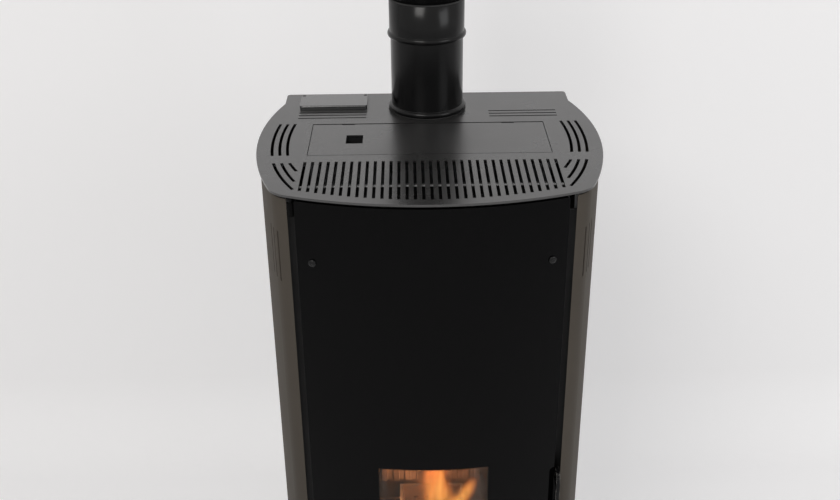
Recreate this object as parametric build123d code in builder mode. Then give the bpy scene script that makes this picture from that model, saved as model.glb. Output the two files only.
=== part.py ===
from build123d import *
import os
from math import cos, radians, sin, sqrt

# Pellet stove with a curved glass door, a slotted top plate and a flue outlet through that plate.
# Millimetres. The origin is on the floor, under the middle of the stove's bounding box.
# +X points to the right as one faces the stove, +Y back towards the wall, +Z up.

# ---------------------------------------------------------------- overall sizes
plate_top = 950.0        # floor to the upper face of the top plate
plate_t = 3.0
plate_half_w = 228.5
plate_front = -209.0     # foremost point of the front arc
plate_back = 179.0
side_r = 430.0           # side arcs of the plan outline
side_mid_y = 1.0         # where the outline is widest
front_bow = 52.2         # depth of the front arc of the plan outline
band_margin = 23.0       # plate's side to the straight-sided band at the back
corner_r = 40.0
back_corner_r = 5.0
sheet_t = 1.5
fit_gap = 0.3            # between curved or moving neighbours
run_clear = 0.05         # radial clearance of a pin or shaft in its hole

# ---------------------------------------------------------------- top plate
slot_pitch = 10.0
slot_count = 33
slot_w = 4.0
slot_rear_margin = 22.3  # from the lid's front edge
slot_front_margin = 14.7
slot_front_r = 443.0
side_slot_insets = (20.5, 30.5, 40.5)
side_slot_rear = (-54.5, 58.0)
side_slot_front = -79.0
side_slot_stop = 8.5     # from the last straight slot to the ends of the slanting slots
side_slot_run = (81.6, 58.0, 26.4)
side_slot_bend_r = 300.0
fine_slot_w = 3.0
fine_slot_start = 86.5
fine_slot_margin = 23.5  # from the band's side
fine_slot_rows = (80.0, 90.5, 101.0)

# ---------------------------------------------------------------- hopper lid
lid_side_margin = 70.0
lid_front = -54.3
lid_flue_margin = 12.2   # lid to the flue's hole
lid_gap = 1.0
lid_rear_gap = 3.0
finger_margin = 47.5     # from the lid's side
finger_w = 22.5
finger_y = (-15.8, 13.8)
cup_lip = 3.0
cup_wall = 1.0
cup_depth = 18.0
cup_bend_r = 0.8
hinge_margin = 48.5      # from the lid's side
hinge_barrel_r = 2.0
hinge_pin_r = 1.0
hinge_knuckle = 8.0
hinge_leaf = 8.0
hinge_leaf_t = 1.0
hinge_axis_gap = 0.75    # lid edge to hinge axis

# ---------------------------------------------------------------- hopper and auger
mouth_side_margin = 10.5 # from the lid's side, front and rear edges
mouth_front_margin = 10.3
mouth_rear_margin = 13.8
seal_w = 5.0
rim_out = 17.0           # width of the hopper's rim
hopper_depth = 160.0     # top plate to the start of the funnel
funnel_collar_h = 10.0
hopper_out_z = 585.0
neck_h = 10.0
outlet_x = (63.0, 119.0)
outlet_half_y = 20.0
shield_side = 7.0        # how far the heat shield runs past the mouth
shield_drop = 90.0       # and below the start of the funnel
tab_w = 12.0
auger_riser_gap = 5.5    # auger tube to flue riser
auger_low_x = 126.0
auger_low_z = 480.0
auger_slope = 35.0
auger_len = 180.0
auger_tube_r = 30.0
auger_tube_wall = 2.0
auger_end_t = 3.0
flight_gap = 1.0
flight_pitch = 35.0
flight_t = 3.0
flight_start = 8.0
flight_end_gap = 10.0
flight_steps = 18        # sections to a turn
auger_shaft_r = 8.0
auger_shaft_out = 14.0   # how far the shaft enters the gearmotor
throat_z = 505.0
drop_half = 15.0         # the hole through which pellets leave the tube
gear_size = (92.0, 60.0)
gear_t = 30.0
motor_can_r = 24.0
motor_can_len = 36.0
motor_can_shift = -14.0
chute_half_w = 18.0
chute_half_y = 22.0
chute_wall = 2.0
chute_drop = 34.0        # clear height of the chute, measured upright
chute_tip_y = -42.0
chute_floor_z = 463.0    # where the sloping floor's line passes the middle of the stove
chute_top_z = 548.0

# ---------------------------------------------------------------- flue
pipe_r = 50.75
pipe_wall = 1.2
plate_flue_gap = 3.75    # pipe to the edge of the plate's hole
flue_back_margin = 4.0   # that hole to the plate's rear edge
bead_out = 4.25
bead_h = 7.5
socket_out = 1.55
socket_h = 45.0
lower_bead_up = 110.0    # plate to the bead under the first socket
upper_bead_up = 355.0
riser_r = 40.0
riser_wall = 1.0
pipe_seat = 35.0         # how deep a pipe stands in the socket below it
collar_gap = 0.4
collar_depth = 46.0      # plate to the step of the collar
collar_sleeve = 60.0     # how far the collar covers the riser
collar_proud = 0.5
seal_t = (1.0, 2.0)      # under the first bead, and on the first socket's rim

# ---------------------------------------------------------------- front, door and handle
panel_inset = 4.0
panel_edge_margin = 52.5
reveal = 9.0
glass_inset = 5.0
glass_t = 4.0
glass_top_gap = 8.5
door_bottom = 285.0
door_skin_t = 3.0
door_wall_t = 2.0
door_rear_y = -157.0
window_half_w = 80.0
window_z = (345.0, 557.0)
pane_margin = 10.0
pane_t = 4.0
pane_y = -164.0
seal_ring_w = 10.0
glass_screw_side = 19.0  # from the glass edges: side, top and bottom
glass_screw_down = 81.5
glass_screw_up = 90.0
glass_screw_r = 5.0
glass_screw_h = 2.6
shank_r = 2.0
door_pin_x = 4.5         # hinge axis beyond the glass edge
door_pin_y = -171.8
door_pin_r = 2.5
door_lug_r = 4.2
lug_h = 18.0
handle_gap = 2.5         # from the glass edge
handle_t = 5.0
handle_z = (375.0, 525.0)
handle_axis_y = -163.5
handle_axis_z = 512.0
handle_shaft_r = 4.0

# ---------------------------------------------------------------- body
base_z = 35.0
base_t = 3.0
bulkhead_y = -153.0
bulkhead_t = 3.0
bulkhead_step_drop = 35.0  # top plate to the step over the door
bulkhead_step = 19.0
ring_inset = (6.0, 14.0)
post_leg = 16.0
post_t = 2.0
rear_inset = 3.0
side_panel_slot_y = (-162.5, -151.0, -139.0)
side_panel_slot_h = 70.0
side_panel_slot_drop = 90.0
side_panel_slot_w = 3.0
louvre_x = 60.0
louvre_size = (4.0, 60.0)
louvre_pitch = (14.0, 70.0)
louvre_count = (7, 2)
louvre_up = 65.0         # base to the middle of the lower louvres
louvre_down = 170.0      # top plate to the middle of the upper ones
foot_r = 19.0
foot_sides = 12
foot_h = 8.0
stem_r = 5.0
stem_up = 14.0
nut_r = 9.0
nut_h = 7.0
foot_margin = 63.5       # from the plate's side
foot_y = (-120.0, 120.0)
plinth_inset = 30.0
plinth_h = 34.0

# ---------------------------------------------------------------- fire
fire_half_w = 118.0
fire_y = (-150.0, -20.0)
fire_z = (300.0, 640.0)
fire_wall = 3.0
fire_opening_z = (335.0, 567.0)
liner_z = (400.0, 632.0)
liner_t = 15.0
liner_gap = 3.0          # liner to the firebox walls
groove_count = 12
groove_t = 5.0
baffle_z = 585.0
baffle_t = 12.0
baffle_gap = 5.0
ledge_lap = 8.0
baffle_y = (-120.0, -45.0)
baffle_pocket = (14.0, 44.0, 5.0)
baffle_pockets = 6
baffle_pocket_pitch = 30.0
exchanger_y = (-145.0, -45.0)
exchanger_margin = 13.0  # from the firebox's side
fin_count = 13
fin_margin = 9.0         # first fin to the plate's edge
fin_t = 2.5
fin_h = 45.0
pot_half = (48.0, 38.0)
pot_taper = 8.0
pot_centre_y = -85.0
pot_top = 400.0
pot_bottom = 330.0
pot_wall = 4.0
pot_rim = (5.0, 3.0)
pot_hole_r = 3.5
pot_hole_pitch = 16.0
pot_air_hole_r = 3.0
cradle_top = 345.0
cradle_wall = 2.0
cradle_side = 12.0       # pot to the cradle's sides
cradle_front = -130.0
channel_margin = 5.0     # air channel to the firebox's side
channel_y = -48.0
ash_slot_gap = 5.0
ash_slot_margin = 8.0
ash_slot_y = (-143.0, -30.0)
smoke_slot = (350.0, 385.0)
smoke_slot_inset = 10.0  # from the smoke box's sides
chute_slot_z = (438.0, 481.0)
air_riser_gap = 10.0     # air tube to flue riser, seen from above
air_z = 324.0
air_r = 20.0
air_end_y = 209.0
air_flange_half = 26.0
air_flange_t = 2.0
igniter_r = 5.0
igniter_z = 338.0
igniter_y = (-47.0, 26.0)
igniter_nut = (9.0, 12.0)

# ---------------------------------------------------------------- ash drawer
drawer_side = 4.0        # how far the drawer is wider than the firebox on each side
drawer_y = (-158.0, -28.0)
drawer_z = (120.0, 270.0)
drawer_front_z = (75.0, 281.0)
runner_t = 2.0

# ---------------------------------------------------------------- fans
volute_flue_shift = 40.5 # fan axis to flue axis
volute_z = 225.0
volute_r = 72.0
volute_half_w = 30.0
volute_wall = 2.0
throat_from = 10.0       # fan axis to the outlet's near wall
outlet_z = 312.0
outlet_flange = (90.0, 88.0, 4.0)
impeller_r = 58.0
impeller_blades = 12
impeller_x = (-22.0, 21.0)
impeller_disc_t = 2.5
hub_r = 10.0
smoke_inlet_r = 32.0
smoke_shaft_r = 4.0
smoke_box_y = 24.0       # depth of the duct behind the firebox
smoke_box_z = (180.0, 270.0, 395.0)
smoke_box_reach = 42.0   # how far the box runs behind the fan's axis
stack_size = (66.0, 56.0)
stack_x = (14.0, 42.0)
bracket_size = (72.0, 18.0)
coil_size = (30.0, 40.0)
coil_t = 44.0
blower_x = (-150.0, 30.0)
blower_y = 90.0
blower_z = 86.0
blower_r = 28.0
blower_blades = 18
blower_scroll_r = 33.0
air_grille_shift = 75.0  # base slots in front of the fan
air_grille_slot = (5.0, 50.0)
air_grille_pitch = 12.0
air_grille_count = 12

# ---------------------------------------------------------------- controls
flap_margin = 23.2       # from the band's side
flap_w = 96.1
flap_y = (112.0, 162.0)
flap_h = 6.0
flap_wall = 2.0
panel_depth = 20.0
display_depth = 0.8
inlet_margin = 55.5      # from the band's side
inlet_z = 100.0
inlet_half = (14.0, 24.0)
board_margin = 21.5      # from the band's side
board_w = 64.0
board_y = (8.0, 106.0)
board_top = 170.0

# ---------------------------------------------------------------- worked out
plate_under = plate_top - plate_t
frame_z = plate_under - plate_t
panel_top = frame_z - 1.0
side_cx = plate_half_w - side_r
front_r = plate_half_w**2 / (2 * front_bow)
front_cy = plate_front + front_r
band_half_w = plate_half_w - band_margin
notch_y = side_mid_y + sqrt(side_r**2 - (band_half_w - side_cx) ** 2)
plate_flue_r = pipe_r + plate_flue_gap
flue_y = plate_back - flue_back_margin - plate_flue_r
lid_half_w = plate_half_w - lid_side_margin
lid_back = flue_y - plate_flue_r - lid_flue_margin
lid_axis = (lid_back + hinge_axis_gap, plate_top - hinge_barrel_r)
finger_x = (finger_margin - lid_half_w, finger_margin + finger_w - lid_half_w)
hinge_x = lid_half_w - hinge_margin
mouth_half_w = lid_half_w - mouth_side_margin
mouth_y = (lid_front + mouth_front_margin, lid_back - mouth_rear_margin)
hopper_cone_z = plate_top - hopper_depth
neck_z = hopper_out_z - neck_h
auger_y = flue_y - riser_r - auger_riser_gap - auger_tube_r
auger_bore_r = auger_tube_r - auger_tube_wall
flight_r = auger_bore_r - flight_gap
auger_dir = Vector(-cos(radians(auger_slope)), 0, sin(radians(auger_slope)))
auger_plane = Plane(origin=(auger_low_x, auger_y, auger_low_z), x_dir=(0, 1, 0), z_dir=auger_dir)
panel_edge_x = plate_half_w - panel_edge_margin
glass_half_w = panel_edge_x - reveal
glass_top = plate_top - glass_top_gap
glass_r = front_r - glass_inset
glass_screw_x = glass_half_w - glass_screw_side
glass_screw_z = (door_bottom + glass_screw_up, glass_top - glass_screw_down)
handle_x = (glass_half_w + handle_gap, glass_half_w + handle_gap + handle_t)
door_axis = (-(glass_half_w + door_pin_x), door_pin_y)
back_face = plate_back - rear_inset
rear_inner = back_face - sheet_t
base_top = base_z + base_t
foot_x = plate_half_w - foot_margin
bulkhead_step_z = plate_top - bulkhead_step_drop
fire_back = fire_y[1] - fire_wall
liner_half_w = fire_half_w - fire_wall - liner_gap
baffle_half_w = fire_half_w - fire_wall - baffle_gap
exchanger_half_w = fire_half_w - exchanger_margin
smoke_box_x = (ash_slot_margin - fire_half_w, -volute_half_w)
cradle_half_w = pot_half[0] + cradle_side
channel_x = fire_half_w - channel_margin
air_x = riser_r + air_riser_gap + air_r
drawer_half_w = fire_half_w + drawer_side
volute_y = flue_y - volute_flue_shift
flap_x = (flap_margin - band_half_w, flap_margin + flap_w - band_half_w)
inlet_x = inlet_margin - band_half_w


def front_y(x, inset=0.0):
    """Depth of the front arc at x, for an outline drawn in by inset."""
    return front_cy - sqrt((front_r - inset) ** 2 - x**2)


def side_x(y, inset=0.0):
    """Half width of the side arc at y, for an outline drawn in by inset."""
    return side_cx + sqrt((side_r - inset) ** 2 - (y - side_mid_y) ** 2)


def outline(inset=0.0, back=plate_back):
    """Plan outline of the stove, drawn in by inset and cut off straight at back."""
    with BuildSketch() as plan:
        with Locations((side_cx, side_mid_y)):
            Circle(side_r - inset)
        with Locations((-side_cx, side_mid_y)):
            Circle(side_r - inset, mode=Mode.INTERSECT)
        with Locations((0, front_cy)):
            Circle(front_r - inset, mode=Mode.INTERSECT)
        fillet(plan.vertices().group_by(Axis.Y)[0], corner_r - inset)
        with Locations((0, back)):
            Rectangle(4 * plate_half_w, side_r, align=(Align.CENTER, Align.MIN), mode=Mode.SUBTRACT)
        with Locations((0, back)):
            Rectangle(2 * (band_half_w - inset), back - side_mid_y, align=(Align.CENTER, Align.MAX))
    return plan.sketch


def span(x, y, z, mode=Mode.ADD):
    """A block given by its low and high X, Y and Z."""
    with Locations(((x[0] + x[1]) / 2, (y[0] + y[1]) / 2, (z[0] + z[1]) / 2)):
        Box(abs(x[1] - x[0]), abs(y[1] - y[0]), abs(z[1] - z[0]), mode=mode)


def rod(start, direction, radius, length, mode=Mode.ADD):
    """A cylinder that starts at a point and runs along a direction."""
    with Locations(Plane(origin=start, z_dir=direction)):
        Cylinder(radius, length, align=(Align.CENTER, Align.CENTER, Align.MIN), mode=mode)


def rect_between(x, y, mode=Mode.ADD):
    """A rectangle given by its low and high X and Y."""
    with Locations(((x[0] + x[1]) / 2, (y[0] + y[1]) / 2)):
        Rectangle(x[1] - x[0], y[1] - y[0], mode=mode)


def tapered(x, y, z):
    """A body whose rectangular plan changes evenly from the bottom to the top.

    x and y each hold the low and high limits at the bottom and then those at the top; z holds both heights.
    """
    with BuildPart() as body:
        for plane, (low, high), mode in ((Plane.XZ, x, Mode.ADD), (Plane.YZ, y, Mode.INTERSECT)):
            with BuildSketch(plane):
                Polygon((low[0], z[0]), (low[1], z[0]), (high[1], z[1]), (high[0], z[1]), align=None)
            extrude(amount=plate_half_w, both=True, mode=mode)
    return body.part


def widened(limits, grow):
    """A pair of low and high limits, each moved outwards."""
    return limits[0] - grow, limits[1] + grow


def blades(count, root_r, tip_r, thickness, lean):
    """Flat blades set evenly round the origin between two radii, each turned by lean degrees."""
    with BuildSketch() as ring:
        with PolarLocations((root_r + tip_r) / 2, count):
            Rectangle(tip_r - root_r, thickness, rotation=lean)
    return ring.sketch


pieces = {}

# ================================================================ casing
with BuildPart() as top_plate:
    with BuildSketch(Plane.XY.offset(plate_under)) as plate_sketch:
        add(outline())
        fillet(plate_sketch.vertices().group_by(Axis.Y)[-1], back_corner_r)
        slot_rear = lid_front - slot_rear_margin
        slot_cy = plate_front + slot_front_margin + slot_front_r
        for n in range(slot_count):
            x = (n - (slot_count - 1) / 2) * slot_pitch
            slot_front = slot_cy - sqrt(slot_front_r**2 - x**2)
            with Locations((x, (slot_rear + slot_front) / 2)):
                Rectangle(slot_w, slot_rear - slot_front, mode=Mode.SUBTRACT)
        stop_x = (slot_count - 1) / 2 * slot_pitch + side_slot_stop
        for side in (-1, 1):
            for inset, run in zip(side_slot_insets, side_slot_run):
                y0, y1 = side_slot_rear
                with BuildLine():
                    ThreePointArc(
                        (side * side_x(y0, inset), y0),
                        (side * side_x(side_mid_y, inset), side_mid_y),
                        (side * side_x(y1, inset), y1),
                    )
                trace(line_width=slot_w, mode=Mode.SUBTRACT)
                start = Vector(side * side_x(side_slot_front, inset), side_slot_front)
                stop = Vector(side * stop_x, side_slot_front - run)
                with BuildLine():
                    RadiusArc(start, stop, side * side_slot_bend_r)
                trace(line_width=slot_w, mode=Mode.SUBTRACT)
            fine_slot_end = band_half_w - fine_slot_margin
            for y in fine_slot_rows:
                with Locations((side * (fine_slot_start + fine_slot_end) / 2, y)):
                    Rectangle(fine_slot_end - fine_slot_start, fine_slot_w, mode=Mode.SUBTRACT)
        lid_hole_x = lid_half_w + lid_gap
        rect_between((-lid_hole_x, lid_hole_x), (lid_front - lid_gap, lid_back + lid_rear_gap), Mode.SUBTRACT)
        with Locations((0, flue_y)):
            Circle(plate_flue_r, mode=Mode.SUBTRACT)
        rect_between((flap_x[0] + 1, flap_x[1] - 1), (flap_y[0] + 3, flap_y[1] + 1), Mode.SUBTRACT)
    extrude(amount=plate_t)
pieces["top_plate"] = top_plate

with BuildPart() as top_frame:
    with BuildSketch(Plane.XY.offset(frame_z)):
        add(outline(ring_inset[0], plate_back - 1))
        add(outline(ring_inset[1], plate_back - ring_inset[1]), mode=Mode.SUBTRACT)
        with Locations((0, flue_y)):
            Circle(plate_flue_r, mode=Mode.SUBTRACT)
    extrude(amount=plate_t)
pieces["top_frame"] = top_frame


def casing_ring(low, high, wall=sheet_t):
    """The bent sheet that follows the outline, before it is cut into its panels."""
    with BuildPart() as ring:
        with BuildSketch(Plane.XY.offset(low)):
            add(outline(panel_inset, back_face))
            add(outline(panel_inset + wall, back_face - wall), mode=Mode.SUBTRACT)
        extrude(amount=high - low)
    return ring.part


def side_panel(side):
    """One curved side panel with its three upright slots near the front corner."""
    with BuildPart() as panel:
        add(casing_ring(base_z, panel_top))
        keep = (panel_edge_x, 2 * plate_half_w)
        keep = keep if side > 0 else (-keep[1], -keep[0])
        span(keep, (2 * plate_front, notch_y - fit_gap - 1.0), (0, plate_top), Mode.INTERSECT)
        for y in side_panel_slot_y:
            centre = Vector(side * side_x(y, panel_inset), y, plate_top - side_panel_slot_drop)
            outward = Vector(side * (side_x(y) - side_cx), y - side_mid_y, 0).normalized()
            cut_plane = Plane(origin=centre, x_dir=(0, 0, 1), z_dir=outward)
            with BuildSketch(cut_plane):
                Rectangle(side_panel_slot_h, side_panel_slot_w)
            extrude(amount=4 * sheet_t, both=True, mode=Mode.SUBTRACT)
    return panel


pieces["side_panel_left"] = side_panel(-1)
pieces["side_panel_right"] = side_panel(1)

with BuildPart() as rear_panel:
    add(casing_ring(base_z, panel_top))
    full_x = (-2 * plate_half_w, 2 * plate_half_w)
    span(full_x, (notch_y - 1.0, 2 * plate_back), (0, plate_top), Mode.INTERSECT)
    rod((air_x, back_face + 1, air_z), (0, -1, 0), air_r + fit_gap, 10, Mode.SUBTRACT)
    inlet_hole_x = widened((inlet_x - inlet_half[0], inlet_x + inlet_half[0]), 0.2)
    inlet_hole_z = widened((inlet_z - inlet_half[1], inlet_z + inlet_half[1]), 0.2)
    span(inlet_hole_x, (rear_inner - 1, back_face + 1), inlet_hole_z, Mode.SUBTRACT)
    with BuildSketch(Plane.XZ.offset(-back_face)):
        with Locations((louvre_x, base_z + louvre_up), (louvre_x, plate_top - louvre_down)):
            with GridLocations(*louvre_pitch, *louvre_count):
                Rectangle(*louvre_size)
    extrude(amount=2 * sheet_t, both=True, mode=Mode.SUBTRACT)
pieces["rear_panel"] = rear_panel

with BuildPart() as base_plate:
    with BuildSketch(Plane.XY.offset(base_z)):
        add(outline(panel_inset + sheet_t + fit_gap, rear_inner))
        with GridLocations(2 * foot_x, foot_y[1] - foot_y[0], 2, 2):
            RegularPolygon(stem_r + fit_gap, 8, mode=Mode.SUBTRACT)
        with Locations((sum(blower_x) / 2, blower_y - air_grille_shift)):
            with GridLocations(air_grille_pitch, 1, air_grille_count, 1):
                Rectangle(*air_grille_slot, mode=Mode.SUBTRACT)
    extrude(amount=base_t)
pieces["base_plate"] = base_plate

with BuildPart() as levelling_feet:
    foot_parts = (
        (0, foot_h, foot_r, foot_sides),
        (base_z - nut_h, base_z, nut_r, 6),
        (foot_h, base_z + stem_up, stem_r, 8),
    )
    for low, high, radius, sides in foot_parts:
        with BuildSketch(Plane.XY.offset(low)):
            with GridLocations(2 * foot_x, foot_y[1] - foot_y[0], 2, 2):
                RegularPolygon(radius, sides)
        extrude(amount=high - low)
pieces["levelling_feet"] = levelling_feet

with BuildPart() as front_plinth:
    with BuildSketch(Plane.XY.offset(base_top)):
        with Locations((0, front_cy)):
            Circle(front_r - plinth_inset)
            Circle(front_r - plinth_inset - sheet_t, mode=Mode.SUBTRACT)
        rect_between((-foot_x, foot_x), (plate_front, foot_y[0]), Mode.INTERSECT)
    extrude(amount=plinth_h)
pieces["front_plinth"] = front_plinth

front_post_x = side_x(bulkhead_y + bulkhead_t, panel_inset + sheet_t) - 3.0
post_rear_x = band_half_w - panel_inset - sheet_t - 2.0
with BuildPart() as chassis_posts:
    for side in (-1, 1):
        for x1, y0, leg_at in (
            (front_post_x, bulkhead_y + bulkhead_t, 0),
            (post_rear_x, rear_inner - post_leg, post_leg - post_t),
        ):
            xs = (side * (x1 - post_leg), side * x1)
            span(xs, (y0 + leg_at, y0 + leg_at + post_t), (base_top, frame_z))
            span((side * (x1 - post_t), side * x1), (y0, y0 + post_leg), (base_top, frame_z))
pieces["chassis_posts"] = chassis_posts

latch_slot_z = (handle_axis_z - 17, handle_axis_z + 14)
with BuildPart() as front_bulkhead:
    with BuildSketch(Plane.YZ.offset(-front_post_x)):
        y0 = bulkhead_y
        y1 = bulkhead_y + bulkhead_step
        with BuildLine():
            Polyline(
                (y0, door_bottom + 1), (y0 + bulkhead_t, door_bottom + 1),
                (y0 + bulkhead_t, bulkhead_step_z - bulkhead_t), (y1 + sheet_t, bulkhead_step_z - bulkhead_t),
                (y1 + sheet_t, panel_top), (y1, panel_top), (y1, bulkhead_step_z), (y0, bulkhead_step_z),
                close=True,
            )
        make_face()
    extrude(amount=2 * front_post_x)
    opening_x = window_half_w + pane_margin
    span((-opening_x, opening_x), (y0 - 1, y0 + 5), fire_opening_z, Mode.SUBTRACT)
    span((glass_half_w - 21, glass_half_w - 7), (y0 - 1, y0 + 5), latch_slot_z, Mode.SUBTRACT)
    for side in (-1, 1):
        beside = (side * (glass_half_w - 7), side * 2 * front_post_x)
        span(beside, (y0 + bulkhead_t, y1 + 5), (panel_top - 60, plate_top), Mode.SUBTRACT)
pieces["front_bulkhead"] = front_bulkhead

# ================================================================ hopper, lid and auger
with BuildPart() as hopper_lid:
    with BuildSketch(Plane.XY.offset(plate_under)):
        rect_between((-lid_half_w, lid_half_w), (lid_front, lid_back))
        rect_between(finger_x, finger_y, Mode.SUBTRACT)
        for side in (-1, 1):
            half = hinge_knuckle + 1
            notch = hinge_barrel_r + fit_gap - hinge_axis_gap
            notch_x = (side * hinge_x - half, side * hinge_x + half)
            rect_between(notch_x, (lid_back - notch, lid_back + 1), Mode.SUBTRACT)
    extrude(amount=plate_t)
pieces["hopper_lid"] = hopper_lid

with BuildPart() as lid_finger_cup:
    cup_low = plate_under - cup_depth
    span(widened(finger_x, cup_lip), widened(finger_y, cup_lip), (cup_low, plate_under))
    inside = (widened(finger_x, cup_lip - cup_wall), widened(finger_y, cup_lip - cup_wall))
    span(*inside, (cup_low + cup_wall, plate_under + 1), Mode.SUBTRACT)
    fillet(lid_finger_cup.edges().filter_by(Axis.Z).group_by(Axis.X)[0], cup_bend_r)
pieces["lid_finger_cup"] = lid_finger_cup


def knuckle(x, leaf_side, bore_r):
    """A hinge knuckle with its leaf, which lies behind the pin under the plate or before it under the lid."""
    y, z = lid_axis
    with BuildPart() as body:
        with BuildSketch(Plane(origin=(x - hinge_knuckle / 2, y, z), x_dir=(0, 1, 0), z_dir=(1, 0, 0))):
            RegularPolygon(hinge_barrel_r, 8)
            leaf = sorted((0, leaf_side * hinge_leaf))
            rect_between(leaf, (-hinge_barrel_r, hinge_leaf_t - hinge_barrel_r))
            Circle(bore_r, mode=Mode.SUBTRACT)
        extrude(amount=hinge_knuckle)
    return body.part


knuckle_shift = (hinge_knuckle + fit_gap) / 2
with BuildPart() as lid_hinge_bases:
    for side in (-1, 1):
        add(knuckle(side * (hinge_x - knuckle_shift), 1, hinge_pin_r))
pieces["lid_hinge_bases"] = lid_hinge_bases

with BuildPart() as lid_hinge_straps:
    for side in (-1, 1):
        add(knuckle(side * (hinge_x + knuckle_shift), -1, hinge_pin_r + run_clear))
pieces["lid_hinge_straps"] = lid_hinge_straps

with BuildPart() as lid_hinge_pins:
    pin_half = hinge_knuckle + fit_gap / 2
    for side in (-1, 1):
        rod((side * hinge_x - pin_half, *lid_axis), (1, 0, 0), hinge_pin_r, 2 * pin_half)
pieces["lid_hinge_pins"] = lid_hinge_pins

rim_z = frame_z - sheet_t
mouth_x = (-mouth_half_w, mouth_half_w)
rim_x = widened(mouth_x, rim_out)
rim_y = widened(mouth_y, rim_out)
with BuildPart() as lid_seal:
    with BuildSketch(Plane.XY.offset(frame_z)):
        for grow, mode in ((seal_w + 1, Mode.ADD), (1, Mode.SUBTRACT)):
            rect_between(widened(mouth_x, grow), widened(mouth_y, grow), mode)
    extrude(amount=plate_t)
pieces["lid_seal"] = lid_seal


tab_front_y = side_slot_rear[0] - tab_w - 6
tab_rear_y = rim_y[1] - 1
with BuildPart() as hopper:
    span(widened(mouth_x, sheet_t), widened(mouth_y, sheet_t), (hopper_cone_z, frame_z))
    with BuildSketch(Plane.XY.offset(rim_z)):
        rect_between(rim_x, (tab_front_y, rim_y[1] + 8))
        for side in (-1, 1):
            for y0, y1 in ((tab_front_y, tab_front_y + tab_w), (tab_rear_y, rim_y[1] + 8)):
                reach = side_x((y0 + y1) / 2, ring_inset[1]) + 4
                rect_between(sorted((side * (rim_x[1] - 1), side * reach)), (y0, y1))
    extrude(amount=sheet_t)
    span(mouth_x, mouth_y, (0, plate_top), Mode.SUBTRACT)
pieces["hopper"] = hopper

outlet_y = (auger_y - outlet_half_y, auger_y + outlet_half_y)
with BuildPart() as hopper_funnel:
    collar = (widened(mouth_x, 2 * sheet_t), widened(mouth_y, 2 * sheet_t))
    span(*collar, (hopper_cone_z - sheet_t, hopper_cone_z + funnel_collar_h))
    span(widened(mouth_x, sheet_t), widened(mouth_y, sheet_t), (hopper_cone_z, plate_top), Mode.SUBTRACT)
    for grow, mode in ((sheet_t, Mode.ADD), (0, Mode.SUBTRACT)):
        low = (widened(outlet_x, grow), widened(outlet_y, grow))
        high = (widened(mouth_x, grow), widened(mouth_y, grow))
        add(tapered((low[0], high[0]), (low[1], high[1]), (hopper_out_z, hopper_cone_z)), mode=mode)
        span(*low, (neck_z - (0 if grow else 1), hopper_out_z), mode)
pieces["hopper_funnel"] = hopper_funnel

with BuildPart() as heat_shield:
    shield_x = widened(mouth_x, shield_side)
    shield_back = tab_front_y + sheet_t
    span(shield_x, (tab_front_y, shield_back), (hopper_cone_z - shield_drop, rim_z))
    span(shield_x, (tab_front_y, tab_front_y + 18), (rim_z - sheet_t, rim_z))
pieces["heat_shield"] = heat_shield

with BuildPart() as auger_housing:
    with BuildSketch(auger_plane):
        Circle(auger_tube_r)
    extrude(amount=auger_len)
    span(widened(outlet_x, auger_tube_wall), widened(outlet_y, auger_tube_wall), (throat_z, neck_z))
    span(outlet_x, outlet_y, (throat_z - 5, neck_z + 1), Mode.SUBTRACT)
    with BuildSketch(auger_plane.offset(auger_end_t)):
        Circle(auger_bore_r)
    extrude(amount=auger_len - 2 * auger_end_t, mode=Mode.SUBTRACT)
    with BuildSketch(auger_plane.offset(-1)):
        Circle(auger_shaft_r + run_clear)
    extrude(amount=auger_len + 2, mode=Mode.SUBTRACT)
    drop_z = auger_low_z + auger_low_x * sin(radians(auger_slope)) / cos(radians(auger_slope))
    drop_y = (auger_y - drop_half, auger_y + drop_half)
    span((-drop_half, drop_half), drop_y, (drop_z - 2.2 * auger_tube_r, drop_z), Mode.SUBTRACT)
pieces["auger_housing"] = auger_housing


def flight_section(step):
    """Corners of the flight's section, turned about the shaft and moved along it by its share of a turn."""
    turn = radians(360 * step / flight_steps)
    outward = auger_plane.x_dir * cos(turn) + auger_plane.y_dir * sin(turn)
    foot = auger_plane.origin + auger_dir * (flight_start + flight_pitch * step / flight_steps)
    root, tip = foot + outward * (auger_shaft_r - 1), foot + outward * flight_r
    return root, tip, tip + auger_dir * flight_t, root + auger_dir * flight_t


def flat_face(*corners):
    """A flat face through its corners."""
    return Face(Wire.make_polygon(corners, close=True))


with BuildPart() as auger_screw:
    flight_len = auger_len - flight_start - flight_end_gap - flight_t
    sections = [flight_section(step) for step in range(int(flight_len / flight_pitch * flight_steps) + 1)]
    faces = [flat_face(*sections[0]), flat_face(*sections[-1])]
    for near, far in zip(sections, sections[1:]):
        for corner in range(4):
            after = (corner + 1) % 4
            faces.append(flat_face(near[corner], near[after], far[after]))
            faces.append(flat_face(near[corner], far[after], far[corner]))
    add(Solid(Shell(faces)))
    with BuildSketch(auger_plane.offset(-auger_shaft_out)):
        Circle(auger_shaft_r)
    extrude(amount=auger_len + auger_shaft_out)
pieces["auger_screw"] = auger_screw

with BuildPart() as auger_gearmotor:
    with BuildSketch(auger_plane.offset(-gear_t)):
        Rectangle(*gear_size)
    extrude(amount=gear_t)
    with BuildSketch(auger_plane.offset(-gear_t)):
        with Locations((motor_can_shift, 0)):
            Circle(motor_can_r)
    extrude(amount=-motor_can_len)
    with BuildSketch(auger_plane.offset(-auger_shaft_out - 0.5)):
        Circle(auger_shaft_r + run_clear)
    extrude(amount=gear_t, mode=Mode.SUBTRACT)
pieces["auger_gearmotor"] = auger_gearmotor

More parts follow.
